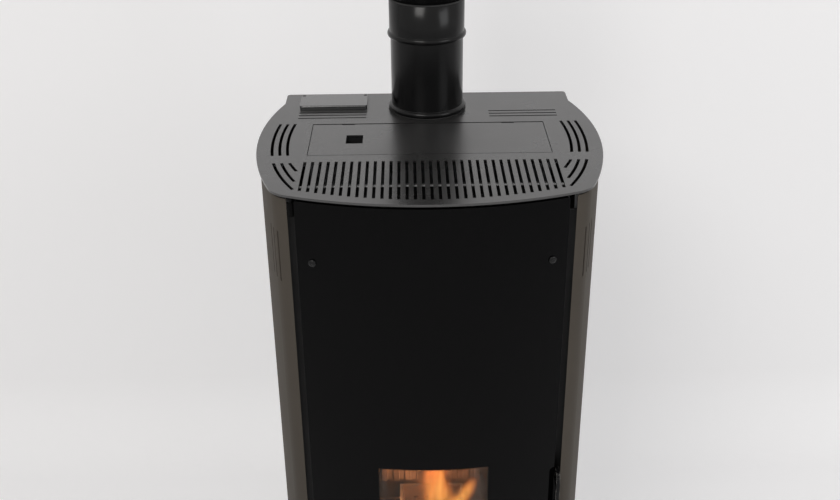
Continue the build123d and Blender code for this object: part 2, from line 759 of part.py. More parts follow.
with BuildPart() as pellet_chute:
    for grow, mode in ((chute_wall, Mode.ADD), (0.0, Mode.SUBTRACT)):
        half = chute_half_w + grow - chute_wall
        low = auger_y + chute_half_y + grow - chute_wall
        high = auger_y - chute_half_y - grow + chute_wall
        tip = chute_tip_y + (0 if grow else -2)
        floor = chute_floor_z - grow + chute_wall
        roof = floor + chute_drop + 2 * (grow - chute_wall)
        top = chute_top_z + (0 if grow else 1)
        with BuildSketch(Plane.YZ.offset(-half)):
            with BuildLine():
                Polyline(
                    (high, top), (low, top), (low, floor + low), (tip, floor + tip),
                    (tip, roof + tip), (high, roof + high), close=True,
                )
            make_face()
        extrude(amount=2 * half, mode=mode)
    with BuildSketch(auger_plane.offset(-20)):
        Circle(auger_tube_r + 0.1)
    extrude(amount=auger_len + 40, mode=Mode.SUBTRACT)
pieces["pellet_chute"] = pellet_chute

# ================================================================ fire
with BuildPart() as firebox:
    span((-fire_half_w, fire_half_w), fire_y, fire_z)
    inside_x = (fire_wall - fire_half_w, fire_half_w - fire_wall)
    span(inside_x, (fire_y[0] - 1, fire_back), (fire_z[0] + fire_wall, fire_z[1] - fire_wall), Mode.SUBTRACT)
    for side in (-1, 1):
        ledge_x = (side * (fire_half_w - fire_wall), side * (baffle_half_w - ledge_lap))
        span(ledge_x, (baffle_y[0] + 5, baffle_y[1] - 5), (baffle_z - 3, baffle_z))
    wall_y = (fire_y[1] - 5, fire_y[1] + 1)
    span((-chute_half_w - 0.5, chute_half_w + 0.5), wall_y, chute_slot_z, Mode.SUBTRACT)
    smoke_slot_x = widened(smoke_box_x, -smoke_slot_inset)
    span(smoke_slot_x, wall_y, smoke_slot, Mode.SUBTRACT)
    rod((air_x, wall_y[1], air_z), (0, -1, 0), air_r + fit_gap, 6, Mode.SUBTRACT)
    rod((0, wall_y[1], igniter_z), (0, -1, 0), igniter_r + 0.2, 6, Mode.SUBTRACT)
    ash_slot_x = (cradle_half_w + ash_slot_gap, fire_half_w - ash_slot_margin)
    floor_z = (fire_z[0] - 1, fire_z[0] + fire_wall + 1)
    span((-ash_slot_x[1], -ash_slot_x[0]), ash_slot_y, floor_z, Mode.SUBTRACT)
    span(ash_slot_x, (ash_slot_y[0], channel_y - ash_slot_gap), floor_z, Mode.SUBTRACT)
pieces["firebox"] = firebox

with BuildPart() as firebox_liner:
    groove_pitch = 2 * liner_half_w / (groove_count + 0.5)
    with BuildSketch(Plane.XY.offset(liner_z[0])):
        rect_between((-liner_half_w, liner_half_w), (fire_back - liner_t, fire_back))
        with Locations((0, fire_back - liner_t)):
            with GridLocations(groove_pitch, 1, groove_count, 1):
                Trapezoid(0.72 * groove_pitch, groove_t, 60, mode=Mode.SUBTRACT)
    extrude(amount=liner_z[1] - liner_z[0])
    notch_half = chute_half_w + 2
    notch_z = (liner_z[0] - 1, chute_slot_z[1] + 3)
    span((-notch_half, notch_half), (fire_back - 2 * liner_t, fire_back + 1), notch_z, Mode.SUBTRACT)
pieces["firebox_liner"] = firebox_liner

with BuildPart() as baffle_plate:
    span((-baffle_half_w, baffle_half_w), baffle_y, (baffle_z, baffle_z + baffle_t))
    chamfer(baffle_plate.edges().filter_by(Axis.Z), 6)
    with BuildSketch(Plane.XY.offset(baffle_z)):
        with Locations((0, sum(baffle_y) / 2)):
            with GridLocations(baffle_pocket_pitch, 1, baffle_pockets, 1):
                Rectangle(*baffle_pocket[:2])
    extrude(amount=baffle_pocket[2], mode=Mode.SUBTRACT)
pieces["baffle_plate"] = baffle_plate

fin_pitch = 2 * (exchanger_half_w - fin_margin) / (fin_count - 1)
with BuildPart() as heat_exchanger:
    span((-exchanger_half_w, exchanger_half_w), exchanger_y, (fire_z[1], fire_z[1] + 3))
    with Locations((0, sum(exchanger_y) / 2, fire_z[1] + 3)):
        with GridLocations(fin_pitch, 1, fin_count, 1):
            fin_depth = exchanger_y[1] - exchanger_y[0] - 4
            Box(fin_t, fin_depth, fin_h, align=(Align.CENTER, Align.CENTER, Align.MIN))
pieces["heat_exchanger"] = heat_exchanger


def pot_shell(grow, low, high):
    """The burn pot's tapered outside, or its inside where grow is negative, between two heights."""
    limits = []
    for half, centre in zip(pot_half, (0, pot_centre_y)):
        limits.append([(centre - half + cut - grow, centre + half - cut + grow) for cut in (pot_taper, 0)])
    return tapered(*limits, (low, high))


with BuildPart() as burn_pot:
    add(pot_shell(0, pot_bottom, pot_top))
    with BuildSketch(Plane(origin=(0, pot_centre_y, cradle_top))):
        Rectangle(2 * (pot_half[0] + pot_rim[0]), 2 * (pot_half[1] + pot_rim[1]))
    extrude(amount=pot_wall)
    add(pot_shell(-pot_wall, pot_bottom + pot_wall, pot_top + 0.01), mode=Mode.SUBTRACT)
    with BuildSketch(Plane.XY.offset(pot_bottom - 1)):
        with Locations((0, pot_centre_y)):
            with GridLocations(pot_hole_pitch, pot_hole_pitch, 4, 3):
                RegularPolygon(pot_hole_r, 6)
    extrude(amount=2 * pot_wall, mode=Mode.SUBTRACT)
    with BuildSketch(Plane.XZ.offset(-pot_centre_y)):
        with Locations((0, pot_top - 20)):
            with GridLocations(pot_hole_pitch, 1, 4, 1):
                RegularPolygon(pot_air_hole_r, 6)
    extrude(amount=60, both=True, mode=Mode.SUBTRACT)
pieces["burn_pot"] = burn_pot

with BuildPart() as burn_pot_cradle:
    cradle_low = fire_z[0] + fire_wall
    cradle_h = cradle_top - cradle_low
    for wall, low, mode in ((0, cradle_low, Mode.ADD), (cradle_wall, cradle_low - 1, Mode.SUBTRACT)):
        with BuildSketch(Plane.XY.offset(low)):
            back_y = fire_back - wall
            rect_between((wall - cradle_half_w, cradle_half_w - wall), (cradle_front + wall, back_y))
            rect_between((0, channel_x - wall), (channel_y + wall, back_y))
        extrude(amount=cradle_h - wall / 2, mode=mode)
    with BuildSketch(Plane(origin=(0, pot_centre_y, cradle_top - 3))):
        Rectangle(2 * (pot_half[0] - 1), 2 * (pot_half[1] - 1))
    extrude(amount=5, mode=Mode.SUBTRACT)
    rod((air_x, fire_back + 1, air_z), (0, -1, 0), air_r + fit_gap, 5, Mode.SUBTRACT)
    rod((0, fire_back + 1, igniter_z), (0, -1, 0), igniter_r + 0.2, 5, Mode.SUBTRACT)
pieces["burn_pot_cradle"] = burn_pot_cradle

with BuildPart() as igniter:
    rod((0, igniter_y[1], igniter_z), (0, -1, 0), igniter_r, igniter_y[1] - igniter_y[0])
    with BuildSketch(Plane(origin=(0, fire_y[1], igniter_z), z_dir=(0, 1, 0))):
        RegularPolygon(igniter_nut[0], 6)
    extrude(amount=igniter_nut[1])
pieces["igniter"] = igniter

with BuildPart() as air_intake_tube:
    start = (air_x, fire_back - 3, air_z)
    rod(start, (0, 1, 0), air_r, air_end_y - start[1])
    with BuildSketch(Plane.XZ.offset(-back_face)) as flange_sketch:
        with Locations((air_x, air_z)):
            Rectangle(2 * air_flange_half, 2 * air_flange_half)
        chamfer(flange_sketch.vertices(), air_flange_half / 4)
    extrude(amount=-air_flange_t)
    rod((air_x, start[1] - 1, air_z), (0, 1, 0), air_r - sheet_t, 300, Mode.SUBTRACT)
pieces["air_intake_tube"] = air_intake_tube

# ================================================================ smoke path and flue
with BuildPart() as smoke_box:
    for wall, mode in ((0.0, Mode.ADD), (sheet_t, Mode.SUBTRACT)):
        low_z, step_z, high_z = smoke_box_z[0] + wall, smoke_box_z[1] - wall, smoke_box_z[2] - wall
        front = fire_y[1] + wall
        duct = fire_y[1] + smoke_box_y - wall
        rear = volute_y + smoke_box_reach - wall
        with BuildSketch(Plane.YZ.offset(smoke_box_x[0] + wall)):
            Polygon(
                (front, high_z), (duct, high_z), (duct, step_z),
                (rear, step_z), (rear, low_z), (front, low_z), align=None,
            )
        extrude(amount=smoke_box_x[1] - smoke_box_x[0] - 2 * wall, mode=mode)
    span(smoke_slot_x, (fire_y[1] - 1, fire_y[1] + 3), smoke_slot, Mode.SUBTRACT)
    rod((smoke_box_x[1] - 5, volute_y, volute_z), (1, 0, 0), smoke_inlet_r, 10, Mode.SUBTRACT)
pieces["smoke_box"] = smoke_box

with BuildPart() as smoke_fan_housing:
    for wall, mode in ((0.0, Mode.ADD), (volute_wall, Mode.SUBTRACT)):
        side_start = (wall - volute_half_w, volute_y, volute_z)
        with BuildSketch(Plane(origin=side_start, x_dir=(0, 1, 0), z_dir=(1, 0, 0))):
            Circle(volute_r - wall)
            rect_between((throat_from + wall, volute_r - wall), (0, outlet_z - volute_z + wall))
        extrude(amount=2 * (volute_half_w - wall), mode=mode)
    with BuildSketch(Plane.XY.offset(outlet_z - outlet_flange[2])):
        with Locations((0, flue_y)):
            Rectangle(*outlet_flange[:2])
    extrude(amount=outlet_flange[2])
    throat_x = (volute_wall - volute_half_w, volute_half_w - volute_wall)
    throat_y = (volute_y + throat_from + volute_wall, volute_y + volute_r - volute_wall)
    span(throat_x, throat_y, (volute_z, outlet_z + 1), Mode.SUBTRACT)
    rod((-volute_half_w - 1, volute_y, volute_z), (1, 0, 0), smoke_inlet_r, 5, Mode.SUBTRACT)
    rod((volute_half_w + 1, volute_y, volute_z), (-1, 0, 0), smoke_shaft_r + run_clear, 6, Mode.SUBTRACT)
pieces["smoke_fan_housing"] = smoke_fan_housing

impeller_plane = Plane(origin=(0, volute_y, volute_z), x_dir=(0, 1, 0), z_dir=(1, 0, 0))
with BuildPart() as smoke_fan_impeller:
    with BuildSketch(impeller_plane.offset(impeller_x[1] - 1)):
        Circle(impeller_r)
    extrude(amount=impeller_disc_t)
    with BuildSketch(impeller_plane.offset(impeller_x[0])):
        add(blades(impeller_blades, impeller_r - 24, impeller_r - 2, 1.5, -35))
    extrude(amount=impeller_x[1] - impeller_x[0])
    with BuildSketch(impeller_plane.offset(impeller_x[1] - 9)):
        RegularPolygon(hub_r, 8)
    extrude(amount=9)
    with BuildSketch(impeller_plane.offset(impeller_x[1] - 7)):
        Circle(smoke_shaft_r)
    extrude(amount=42)
pieces["smoke_fan_impeller"] = smoke_fan_impeller

with BuildPart() as smoke_fan_motor:
    with BuildSketch(impeller_plane.offset(volute_half_w)):
        Rectangle(*bracket_size)
    extrude(amount=3)
    with BuildSketch(impeller_plane.offset(volute_half_w)):
        with GridLocations(bracket_size[0] - 10, 1, 2, 1):
            Rectangle(8, 8)
    extrude(amount=stack_x[0])
    with BuildSketch(impeller_plane.offset(volute_half_w + stack_x[0])):
        Rectangle(*stack_size)
    extrude(amount=stack_x[1] - stack_x[0])
    with BuildSketch(impeller_plane.offset(volute_half_w + (sum(stack_x) - coil_t) / 2)):
        with Locations((0, -stack_size[1] / 2)):
            Rectangle(*coil_size)
    extrude(amount=coil_t)
    with BuildSketch(impeller_plane.offset(volute_half_w - 1)):
        Circle(smoke_shaft_r + run_clear)
    extrude(amount=30, mode=Mode.SUBTRACT)
pieces["smoke_fan_motor"] = smoke_fan_motor


def turned(*points):
    """A body turned about the flue's axis from a closed outline of radius and height pairs."""
    with BuildPart() as body:
        with BuildSketch(Plane(origin=(0, flue_y, 0), x_dir=(1, 0, 0), z_dir=(0, -1, 0))):
            Polygon(*points, align=None)
        revolve(axis=Axis((0, flue_y, 0), (0, 0, 1)))
    return body.part


collar_r = pipe_r + collar_gap
collar_top = plate_top + collar_proud
collar_step = plate_top - collar_depth
with BuildPart() as flue_riser:
    riser_z = (outlet_z, collar_step - 10)
    riser_in = riser_r - riser_wall
    add(turned((riser_r, riser_z[0]), (riser_r, riser_z[1]), (riser_in, riser_z[1]), (riser_in, riser_z[0])))
pieces["flue_riser"] = flue_riser

with BuildPart() as flue_collar:
    sleeve_r = riser_r + fit_gap
    sleeve_z = collar_step - collar_sleeve
    add(turned(
        (sleeve_r, sleeve_z), (sleeve_r + sheet_t, sleeve_z), (sleeve_r + sheet_t, collar_step),
        (collar_r + sheet_t, collar_step), (collar_r + sheet_t, collar_top), (collar_r, collar_top),
        (collar_r, collar_step + sheet_t), (sleeve_r, collar_step + sheet_t),
    ))
pieces["flue_collar"] = flue_collar


def bead(height, foot_r):
    """Outline of a bead that stands out from the pipe above a height and falls to foot_r at its top."""
    crest = pipe_r + bead_out
    rise = bead_h / 3
    return [(pipe_r, height), (crest, height + rise), (crest, height + 2 * rise), (foot_r, height + bead_h)]


def pipe(bottom, top_bead, rim, *seat_bead):
    """A flue pipe turned from its beaded outer line and a plain bore that widens for the next pipe."""
    socket_r = pipe_r + socket_out
    bore_r = pipe_r - pipe_wall
    step_z = top_bead + bead_h
    outer = [(pipe_r, bottom), *seat_bead, *bead(top_bead, socket_r), (socket_r, rim)]
    mouth_r = socket_r - pipe_wall
    inner = [(bore_r, bottom), (bore_r, step_z), (mouth_r, step_z + 1), (mouth_r, rim)]
    return turned(*outer, *reversed(inner))


bead_low = collar_top + seal_t[0]
lower_bead = plate_top + lower_bead_up - bead_h / 2
lower_rim = lower_bead + bead_h + socket_h
upper_bead = plate_top + upper_bead_up - bead_h / 2
flue_top = upper_bead + bead_h + socket_h
with BuildPart() as flue_pipe_lower:
    add(pipe(collar_top - pipe_seat, lower_bead, lower_rim, *bead(bead_low, pipe_r)))
pieces["flue_pipe_lower"] = flue_pipe_lower

with BuildPart() as flue_pipe_upper:
    add(pipe(lower_rim - pipe_seat, upper_bead, flue_top))
pieces["flue_pipe_upper"] = flue_pipe_upper

with BuildPart() as flue_seals:
    inner = pipe_r + run_clear
    for low, height, proud in ((collar_top, seal_t[0], bead_out), (lower_rim, seal_t[1], socket_out)):
        outer = pipe_r + proud
        add(turned((inner, low), (outer, low), (outer, low + height), (inner, low + height)))
pieces["flue_seals"] = flue_seals

# ================================================================ door
frame_top = glass_top - 2.5
frame_half_w = glass_half_w - 2.0


def front_slab(outer_inset, x_half, back, z):
    """A block whose front follows the front arc and whose back is flat."""
    with BuildPart() as slab:
        with BuildSketch(Plane.XY.offset(z[0])):
            with Locations((0, front_cy)):
                Circle(front_r - outer_inset)
            rect_between((-x_half, x_half), (plate_front, back), Mode.INTERSECT)
        extrude(amount=z[1] - z[0])
    return slab.part


def front_sheet(outer_inset, thickness, x_half, z):
    """A curved sheet that follows the front arc."""
    with BuildPart() as sheet:
        with BuildSketch(Plane.XY.offset(z[0])):
            with Locations((0, front_cy)):
                Circle(front_r - outer_inset)
                Circle(front_r - outer_inset - thickness, mode=Mode.SUBTRACT)
            rect_between((-x_half, x_half), (plate_front, 0), Mode.INTERSECT)
        extrude(amount=z[1] - z[0])
    return sheet.part


def glass_screw_planes():
    """Planes on the glass face, one for each screw, looking outwards."""
    planes = []
    for side in (-1, 1):
        for z in glass_screw_z:
            x = side * glass_screw_x
            origin = Vector(x, front_y(x, glass_inset), z)
            planes.append(Plane(origin=origin, z_dir=Vector(x, origin.Y - front_cy, 0)))
    return planes


window_x = (-window_half_w, window_half_w)
pane_x = window_half_w + pane_margin
pane_z = (window_z[0] - pane_margin, window_z[1] + pane_margin)
flange_half = pane_x + seal_ring_w + 4
flange_z = (pane_z[0] - seal_ring_w - 4, pane_z[1] + seal_ring_w + 4)
skin_inset = glass_inset + glass_t + fit_gap
with BuildPart() as door_frame:
    frame_z_span = (door_bottom + 3, frame_top)
    add(front_slab(skin_inset, frame_half_w, door_rear_y, frame_z_span))
    with BuildSketch(Plane.XY.offset(frame_z_span[0] + door_wall_t)):
        with Locations((0, front_cy)):
            Circle(front_r - skin_inset - door_skin_t)
        inner_half = frame_half_w - door_wall_t
        rect_between((-inner_half, inner_half), (plate_front, door_rear_y + 5), Mode.INTERSECT)
    extrude(amount=frame_top - frame_z_span[0] - 2 * door_wall_t, mode=Mode.SUBTRACT)
    add(front_slab(skin_inset, window_half_w + 3, pane_y, (window_z[0] - 3, window_z[1] + 3)))
    span((-flange_half, flange_half), (pane_y - 3, pane_y), flange_z)
    span(window_x, (plate_front - 10, 0), window_z, Mode.SUBTRACT)
    for z in (door_bottom + 8, frame_top - lug_h - 1):
        with BuildSketch(Plane.XY.offset(z)):
            with Locations(door_axis):
                RegularPolygon(door_lug_r, 12)
            bridge_y = front_y(glass_half_w, skin_inset) + 0.4
            rect_between((door_axis[0], -frame_half_w + 1), (bridge_y, bridge_y + 3.5))
            with Locations(door_axis):
                Circle(door_pin_r + run_clear, mode=Mode.SUBTRACT)
        extrude(amount=lug_h)
    shaft_start = (frame_half_w + 1, handle_axis_y, handle_axis_z)
    rod(shaft_start, (-1, 0, 0), handle_shaft_r + run_clear, 6, Mode.SUBTRACT)
    for plane in glass_screw_planes():
        with BuildSketch(plane.offset(-12)):
            RegularPolygon(shank_r + 0.1, 8)
        extrude(amount=12, mode=Mode.SUBTRACT)
pieces["door_frame"] = door_frame

with BuildPart() as front_glass:
    add(front_sheet(glass_inset, glass_t, glass_half_w, (door_bottom, glass_top)))
    side_edges = front_glass.edges().filter_by(lambda e: abs(e.center().X) > glass_half_w - 0.1)
    fillet(side_edges.filter_by(lambda e: e.length < 20), 3)
    for plane in glass_screw_planes():
        with BuildSketch(plane.offset(-8)):
            RegularPolygon(shank_r + 1.0, 8)
        extrude(amount=12, mode=Mode.SUBTRACT)
pieces["front_glass"] = front_glass

with BuildPart() as glass_screws:
    for plane in glass_screw_planes():
        with BuildSketch(plane.offset(0.4)):
            RegularPolygon(glass_screw_r, 16)
        extrude(amount=glass_screw_h)
        with BuildSketch(plane.offset(-11)):
            RegularPolygon(shank_r, 8)
        extrude(amount=12)
pieces["glass_screws"] = glass_screws

with BuildPart() as fire_glass:
    span((-pane_x, pane_x), (pane_y, pane_y + pane_t), pane_z)
    chamfer(fire_glass.edges().filter_by(Axis.Y), 4)
pieces["fire_glass"] = fire_glass

with BuildPart() as door_seal:
    with BuildSketch(Plane.XZ.offset(-pane_y)) as ring:
        with Locations((0, sum(pane_z) / 2)):
            RectangleRounded(2 * (flange_half - 1), flange_z[1] - flange_z[0] - 2, 12)
            Rectangle(2 * (pane_x + 2), pane_z[1] - pane_z[0] + 4, mode=Mode.SUBTRACT)
    extrude(amount=-(bulkhead_y - pane_y - fit_gap))
pieces["door_seal"] = door_seal

with BuildPart() as door_hinge_brackets:
    for z in (frame_z - 2.0, door_bottom - 3.5):
        with BuildSketch(Plane.XY.offset(z)):
            with Locations(door_axis):
                RegularPolygon(door_lug_r, 12)
            rect_between((door_axis[0] - 3.4, door_axis[0] + 3.4), (door_axis[1], bulkhead_y))
            with Locations(door_axis):
                Circle(door_pin_r, mode=Mode.SUBTRACT)
        extrude(amount=2.0)
pieces["door_hinge_brackets"] = door_hinge_brackets

with BuildPart() as door_hinge_pins:
    rod((*door_axis, frame_top - lug_h + 1), (0, 0, 1), door_pin_r, frame_z - frame_top + lug_h - 1)
    rod((*door_axis, door_bottom - 3.5), (0, 0, 1), door_pin_r, 3.5 + 8 + lug_h - 1)
pieces["door_hinge_pins"] = door_hinge_pins

with BuildPart() as door_handle:
    with BuildSketch(Plane.YZ.offset(handle_x[0])):
        with BuildLine():
            Polyline(
                (handle_axis_y + 5, handle_axis_z - 6), (handle_axis_y + 5, handle_axis_z + 6),
                (handle_axis_y - 2, handle_z[1]), (-182, handle_z[1]), (-186, handle_z[1] - 6),
                (-186, handle_z[0] + 12), (-189, handle_z[0]), (-181, handle_z[0]), (-177, handle_z[0] + 12),
                (-177, handle_axis_z - 12), close=True,
            )
        make_face()
    extrude(amount=handle_x[1] - handle_x[0])
    chamfer(door_handle.edges().filter_by(Axis.X), 1.2)
    tongue_x = (glass_half_w - 18, glass_half_w - 10)
    rod((tongue_x[0], handle_axis_y, handle_axis_z), (1, 0, 0), handle_shaft_r, handle_x[0] + 1 - tongue_x[0])
    span(tongue_x, (handle_axis_y - 5, bulkhead_y + 8), (handle_axis_z - 5, handle_axis_z + 5))
pieces["door_handle"] = door_handle

with BuildPart() as latch_striker:
    y0 = bulkhead_y + bulkhead_t
    span((glass_half_w - 27, glass_half_w - 1), (y0, y0 + 2), (latch_slot_z[0] - 12, latch_slot_z[0]))
    span((glass_half_w - 27, glass_half_w - 1), (y0, y0 + 12), (latch_slot_z[0] - 2, latch_slot_z[0]))
    rod((glass_half_w - 21, y0 + 8, latch_slot_z[0] + 3), (1, 0, 0), 3, 14)
pieces["latch_striker"] = latch_striker

# ================================================================ ash drawer
with BuildPart() as ash_drawer_front:
    add(front_slab(glass_inset, glass_half_w, drawer_y[0], drawer_front_z))
    with BuildSketch(Plane.XY.offset(drawer_front_z[0] + 3)):
        with Locations((0, front_cy)):
            Circle(glass_r - 4)
        rect_between((3 - glass_half_w, glass_half_w - 3), (plate_front, 0), Mode.INTERSECT)
    extrude(amount=drawer_front_z[1] - drawer_front_z[0] - 6, mode=Mode.SUBTRACT)
pieces["ash_drawer_front"] = ash_drawer_front

with BuildPart() as ash_drawer:
    span((-drawer_half_w, drawer_half_w), drawer_y, drawer_z)
    drawer_in = drawer_half_w - sheet_t
    tray_y = widened(drawer_y, -sheet_t)
    span((-drawer_in, drawer_in), tray_y, (drawer_z[0] + sheet_t, drawer_z[1] + 1), Mode.SUBTRACT)
    web_x = (4 - glass_half_w, glass_half_w - 4)
    span(web_x, (drawer_y[0], drawer_y[0] + sheet_t), (drawer_front_z[0] + 3, drawer_z[1]))
    rear_edges = ash_drawer.edges().filter_by(Axis.Z).group_by(Axis.Y)[-1]
    chamfer(rear_edges, 1)
pieces["ash_drawer"] = ash_drawer

with BuildPart() as drawer_runners:
    for side in (-1, 1):
        x0 = side * (drawer_half_w + fit_gap)
        x1 = x0 + side * runner_t
        ys = (drawer_y[0] + 8, drawer_y[1] + 4)
        span((x0, x1), ys, (base_top, drawer_z[0] + 30))
        span((x0 - side * 14, x1), ys, (drawer_z[0] - runner_t, drawer_z[0]))
pieces["drawer_runners"] = drawer_runners

# ================================================================ room air fan
blower_plane = Plane(origin=(blower_x[0], blower_y, blower_z), x_dir=(0, 1, 0), z_dir=(1, 0, 0))
blower_len = blower_x[1] - blower_x[0]
with BuildPart() as room_fan_rotor:
    for at in (2.0, blower_len - 4):
        with BuildSketch(blower_plane.offset(at)):
            Circle(blower_r)
        extrude(amount=2)
    with BuildSketch(blower_plane.offset(2)):
        add(blades(blower_blades, blower_r - 8, blower_r - 1, 1.0, -25))
    extrude(amount=blower_len - 6)
    for at, length in ((-2.0, 5), (blower_len - 5, 25)):
        with BuildSketch(blower_plane.offset(at)):
            Circle(smoke_shaft_r)
        extrude(amount=length)
pieces["room_fan_rotor"] = room_fan_rotor

with BuildPart() as room_fan_housing:
    with BuildSketch(blower_plane):
        with BuildLine():
            scroll = CenterArc((0, 0), blower_scroll_r, 60, 190)
            Line(scroll @ 0, (scroll @ 0) + (scroll % 0) * -26)
            Line(scroll @ 1, (scroll @ 1) + (scroll % 1) * 30)
        trace(line_width=sheet_t)
    extrude(amount=blower_len)
    for at in (-2.0, blower_len):
        with BuildSketch(blower_plane.offset(at)):
            rect_between((-46, 46), (base_top - blower_z, 46))
            Circle(smoke_shaft_r + run_clear, mode=Mode.SUBTRACT)
        extrude(amount=2)
pieces["room_fan_housing"] = room_fan_housing

with BuildPart() as room_fan_motor:
    with BuildSketch(blower_plane.offset(blower_len + 2)):
        Rectangle(56, 56)
    extrude(amount=26)
    with BuildSketch(blower_plane.offset(blower_len + 28)):
        RegularPolygon(20, 12)
    extrude(amount=22)
    with BuildSketch(blower_plane.offset(blower_len + 1)):
        Circle(smoke_shaft_r + run_clear)
    extrude(amount=22, mode=Mode.SUBTRACT)
pieces["room_fan_motor"] = room_fan_motor

# ================================================================ controls
panel_x = (flap_x[0] + 1.3, flap_x[1] - 1.3)
panel_y = (flap_y[0] + 3.3, flap_y[1] + 0.7)
flap_axis = (flap_y[1] - flap_h / 2, plate_top + 0.3 + flap_h / 2)
ear_w = 4.0
with BuildPart() as control_panel:
    span(panel_x, panel_y, (plate_under - panel_depth, plate_top))
    flange_x = (flap_x[0] - 3, flap_x[1] + 3)
    span(flange_x, (flap_y[0] - 3, flap_y[1] + 2.5), (plate_under - 2, plate_under))
    display_x = (panel_x[0] + 8, panel_x[1] - 8)
    display_y = (panel_y[0] + 6, panel_y[1] - 12)
    span(display_x, display_y, (plate_top - display_depth, plate_top + 1), Mode.SUBTRACT)
    for side, x in ((1, flap_x[0] + 1.3), (-1, flap_x[1] - 1.3 - ear_w)):
        span((x, x + ear_w), (flap_axis[0] - 2.2, flap_axis[0] + 2.2), (plate_top - 1, flap_axis[1]))
        rod((x, *flap_axis), (1, 0, 0), 2.2, ear_w)
        inner = x + ear_w / 2
        rod((inner, *flap_axis), (side, 0, 0), 1.2, ear_w / 2 + 5)
pieces["control_panel"] = control_panel

with BuildPart() as control_flap:
    flap_low = plate_top + 0.3
    with BuildSketch(Plane.YZ.offset(flap_x[0])) as flap_section:
        rect_between((flap_y[0], flap_axis[0]), (flap_low, flap_low + flap_h))
        fillet(flap_section.vertices().group_by(Axis.X)[0].sort_by(Axis.Y)[-1], 2)
        with Locations(flap_axis):
            Circle(flap_h / 2)
    extrude(amount=flap_x[1] - flap_x[0])
    with BuildSketch(Plane.XY.offset(plate_top)) as flap_plan:
        rect_between(flap_x, flap_y)
        fillet(flap_plan.vertices().group_by(Axis.Y)[0], 4)
    extrude(amount=2 * flap_h, mode=Mode.INTERSECT)
    hollow_y = (flap_y[0] + flap_wall, flap_axis[0] - 6)
    span(widened(flap_x, -flap_wall), hollow_y, (flap_low - 1, flap_low + flap_h - flap_wall), Mode.SUBTRACT)
    for x in (flap_x[0] + 1.0, flap_x[1] - 1.6 - ear_w):
        ear_y = (flap_axis[0] - 6, flap_y[1] + 1)
        span((x, x + ear_w + 0.6), ear_y, (flap_low - 1, flap_low + flap_h + 1), Mode.SUBTRACT)
    rod((flap_x[0] - 1, *flap_axis), (1, 0, 0), 1.2 + run_clear, flap_x[1] - flap_x[0] + 2, Mode.SUBTRACT)
pieces["control_flap"] = control_flap

with BuildPart() as power_inlet:
    span((inlet_x - 16, inlet_x + 16), (back_face, back_face + 2), (inlet_z - 27, inlet_z + 27))
    body_x = (inlet_x - inlet_half[0], inlet_x + inlet_half[0])
    span(body_x, (back_face - 22, back_face + 1), (inlet_z - inlet_half[1], inlet_z + inlet_half[1]))
    well_x = (inlet_x - 12, inlet_x + 12)
    span(well_x, (back_face - 15, back_face + 3), (inlet_z - 20, inlet_z - 2), Mode.SUBTRACT)
    for dx in (-7, 0, 7):
        blade_x = (inlet_x + dx - 1, inlet_x + dx + 1)
        span(blade_x, (back_face - 17, back_face - 3), (inlet_z - 14, inlet_z - 8))
    rocker_x = (inlet_x - 10.3, inlet_x + 10.3)
    span(rocker_x, (back_face - 10, back_face + 3), (inlet_z + 4, inlet_z + 20), Mode.SUBTRACT)
    rod((inlet_x - 12, back_face - 4, inlet_z + 12), (1, 0, 0), 1.2 + run_clear, 24, Mode.SUBTRACT)
pieces["power_inlet"] = power_inlet

with BuildPart() as power_switch:
    with BuildSketch(Plane.YZ.offset(inlet_x - 10)):
        with BuildLine():
            Polyline(
                (back_face - 6.5, inlet_z + 8), (back_face - 6.5, inlet_z + 16),
                (back_face + 2.5, inlet_z + 18.5), (back_face + 1.0, inlet_z + 12),
                (back_face + 2.5, inlet_z + 5.5), close=True,
            )
        make_face()
    extrude(amount=20)
    rod((inlet_x - 11.8, back_face - 4, inlet_z + 12), (1, 0, 0), 1.2, 23.6)
pieces["power_switch"] = power_switch

with BuildPart() as control_board:
    board_x = (band_half_w - board_margin - board_w, band_half_w - board_margin)
    span(board_x, board_y, (base_top, board_top))
    chamfer(control_board.edges().filter_by(Axis.Z), 4)
    with Locations((board_x[0], sum(board_y) / 2, board_top - 60)):
        with GridLocations(1, 10, 1, 7):
            Box(6, 4, 50, mode=Mode.SUBTRACT)
pieces["control_board"] = control_board

# ---------------------------------------------------------------- files
os.makedirs("parts", exist_ok=True)
for name, piece in pieces.items():
    piece.part.label = name
    export_step(piece.part, f"parts/{name}.step")
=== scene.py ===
"""Looks of a pellet stove: finishes, fire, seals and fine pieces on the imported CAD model, in metres."""
import logging
import math
import random
from collections.abc import Callable, Mapping
from dataclasses import dataclass
from enum import Enum
from typing import ClassVar, NamedTuple

import bmesh
import bpy
from mathutils import Matrix, Vector


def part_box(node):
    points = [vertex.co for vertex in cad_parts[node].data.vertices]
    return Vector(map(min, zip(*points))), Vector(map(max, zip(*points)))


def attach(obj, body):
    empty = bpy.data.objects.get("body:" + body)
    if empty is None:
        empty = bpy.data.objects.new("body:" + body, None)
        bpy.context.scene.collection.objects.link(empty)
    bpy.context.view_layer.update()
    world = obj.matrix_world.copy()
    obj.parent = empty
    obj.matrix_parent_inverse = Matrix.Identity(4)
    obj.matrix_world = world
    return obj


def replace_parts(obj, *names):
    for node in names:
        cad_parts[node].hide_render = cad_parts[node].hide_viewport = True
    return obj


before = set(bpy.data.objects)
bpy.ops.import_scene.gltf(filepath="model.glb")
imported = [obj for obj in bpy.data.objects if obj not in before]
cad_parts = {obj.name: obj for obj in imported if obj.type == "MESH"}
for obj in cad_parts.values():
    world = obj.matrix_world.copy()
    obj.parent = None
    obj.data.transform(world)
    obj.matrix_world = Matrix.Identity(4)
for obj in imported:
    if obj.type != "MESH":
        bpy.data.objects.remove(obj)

LOG = logging.getLogger("pellet_stove")
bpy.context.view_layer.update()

Colour = tuple[float, float, float]
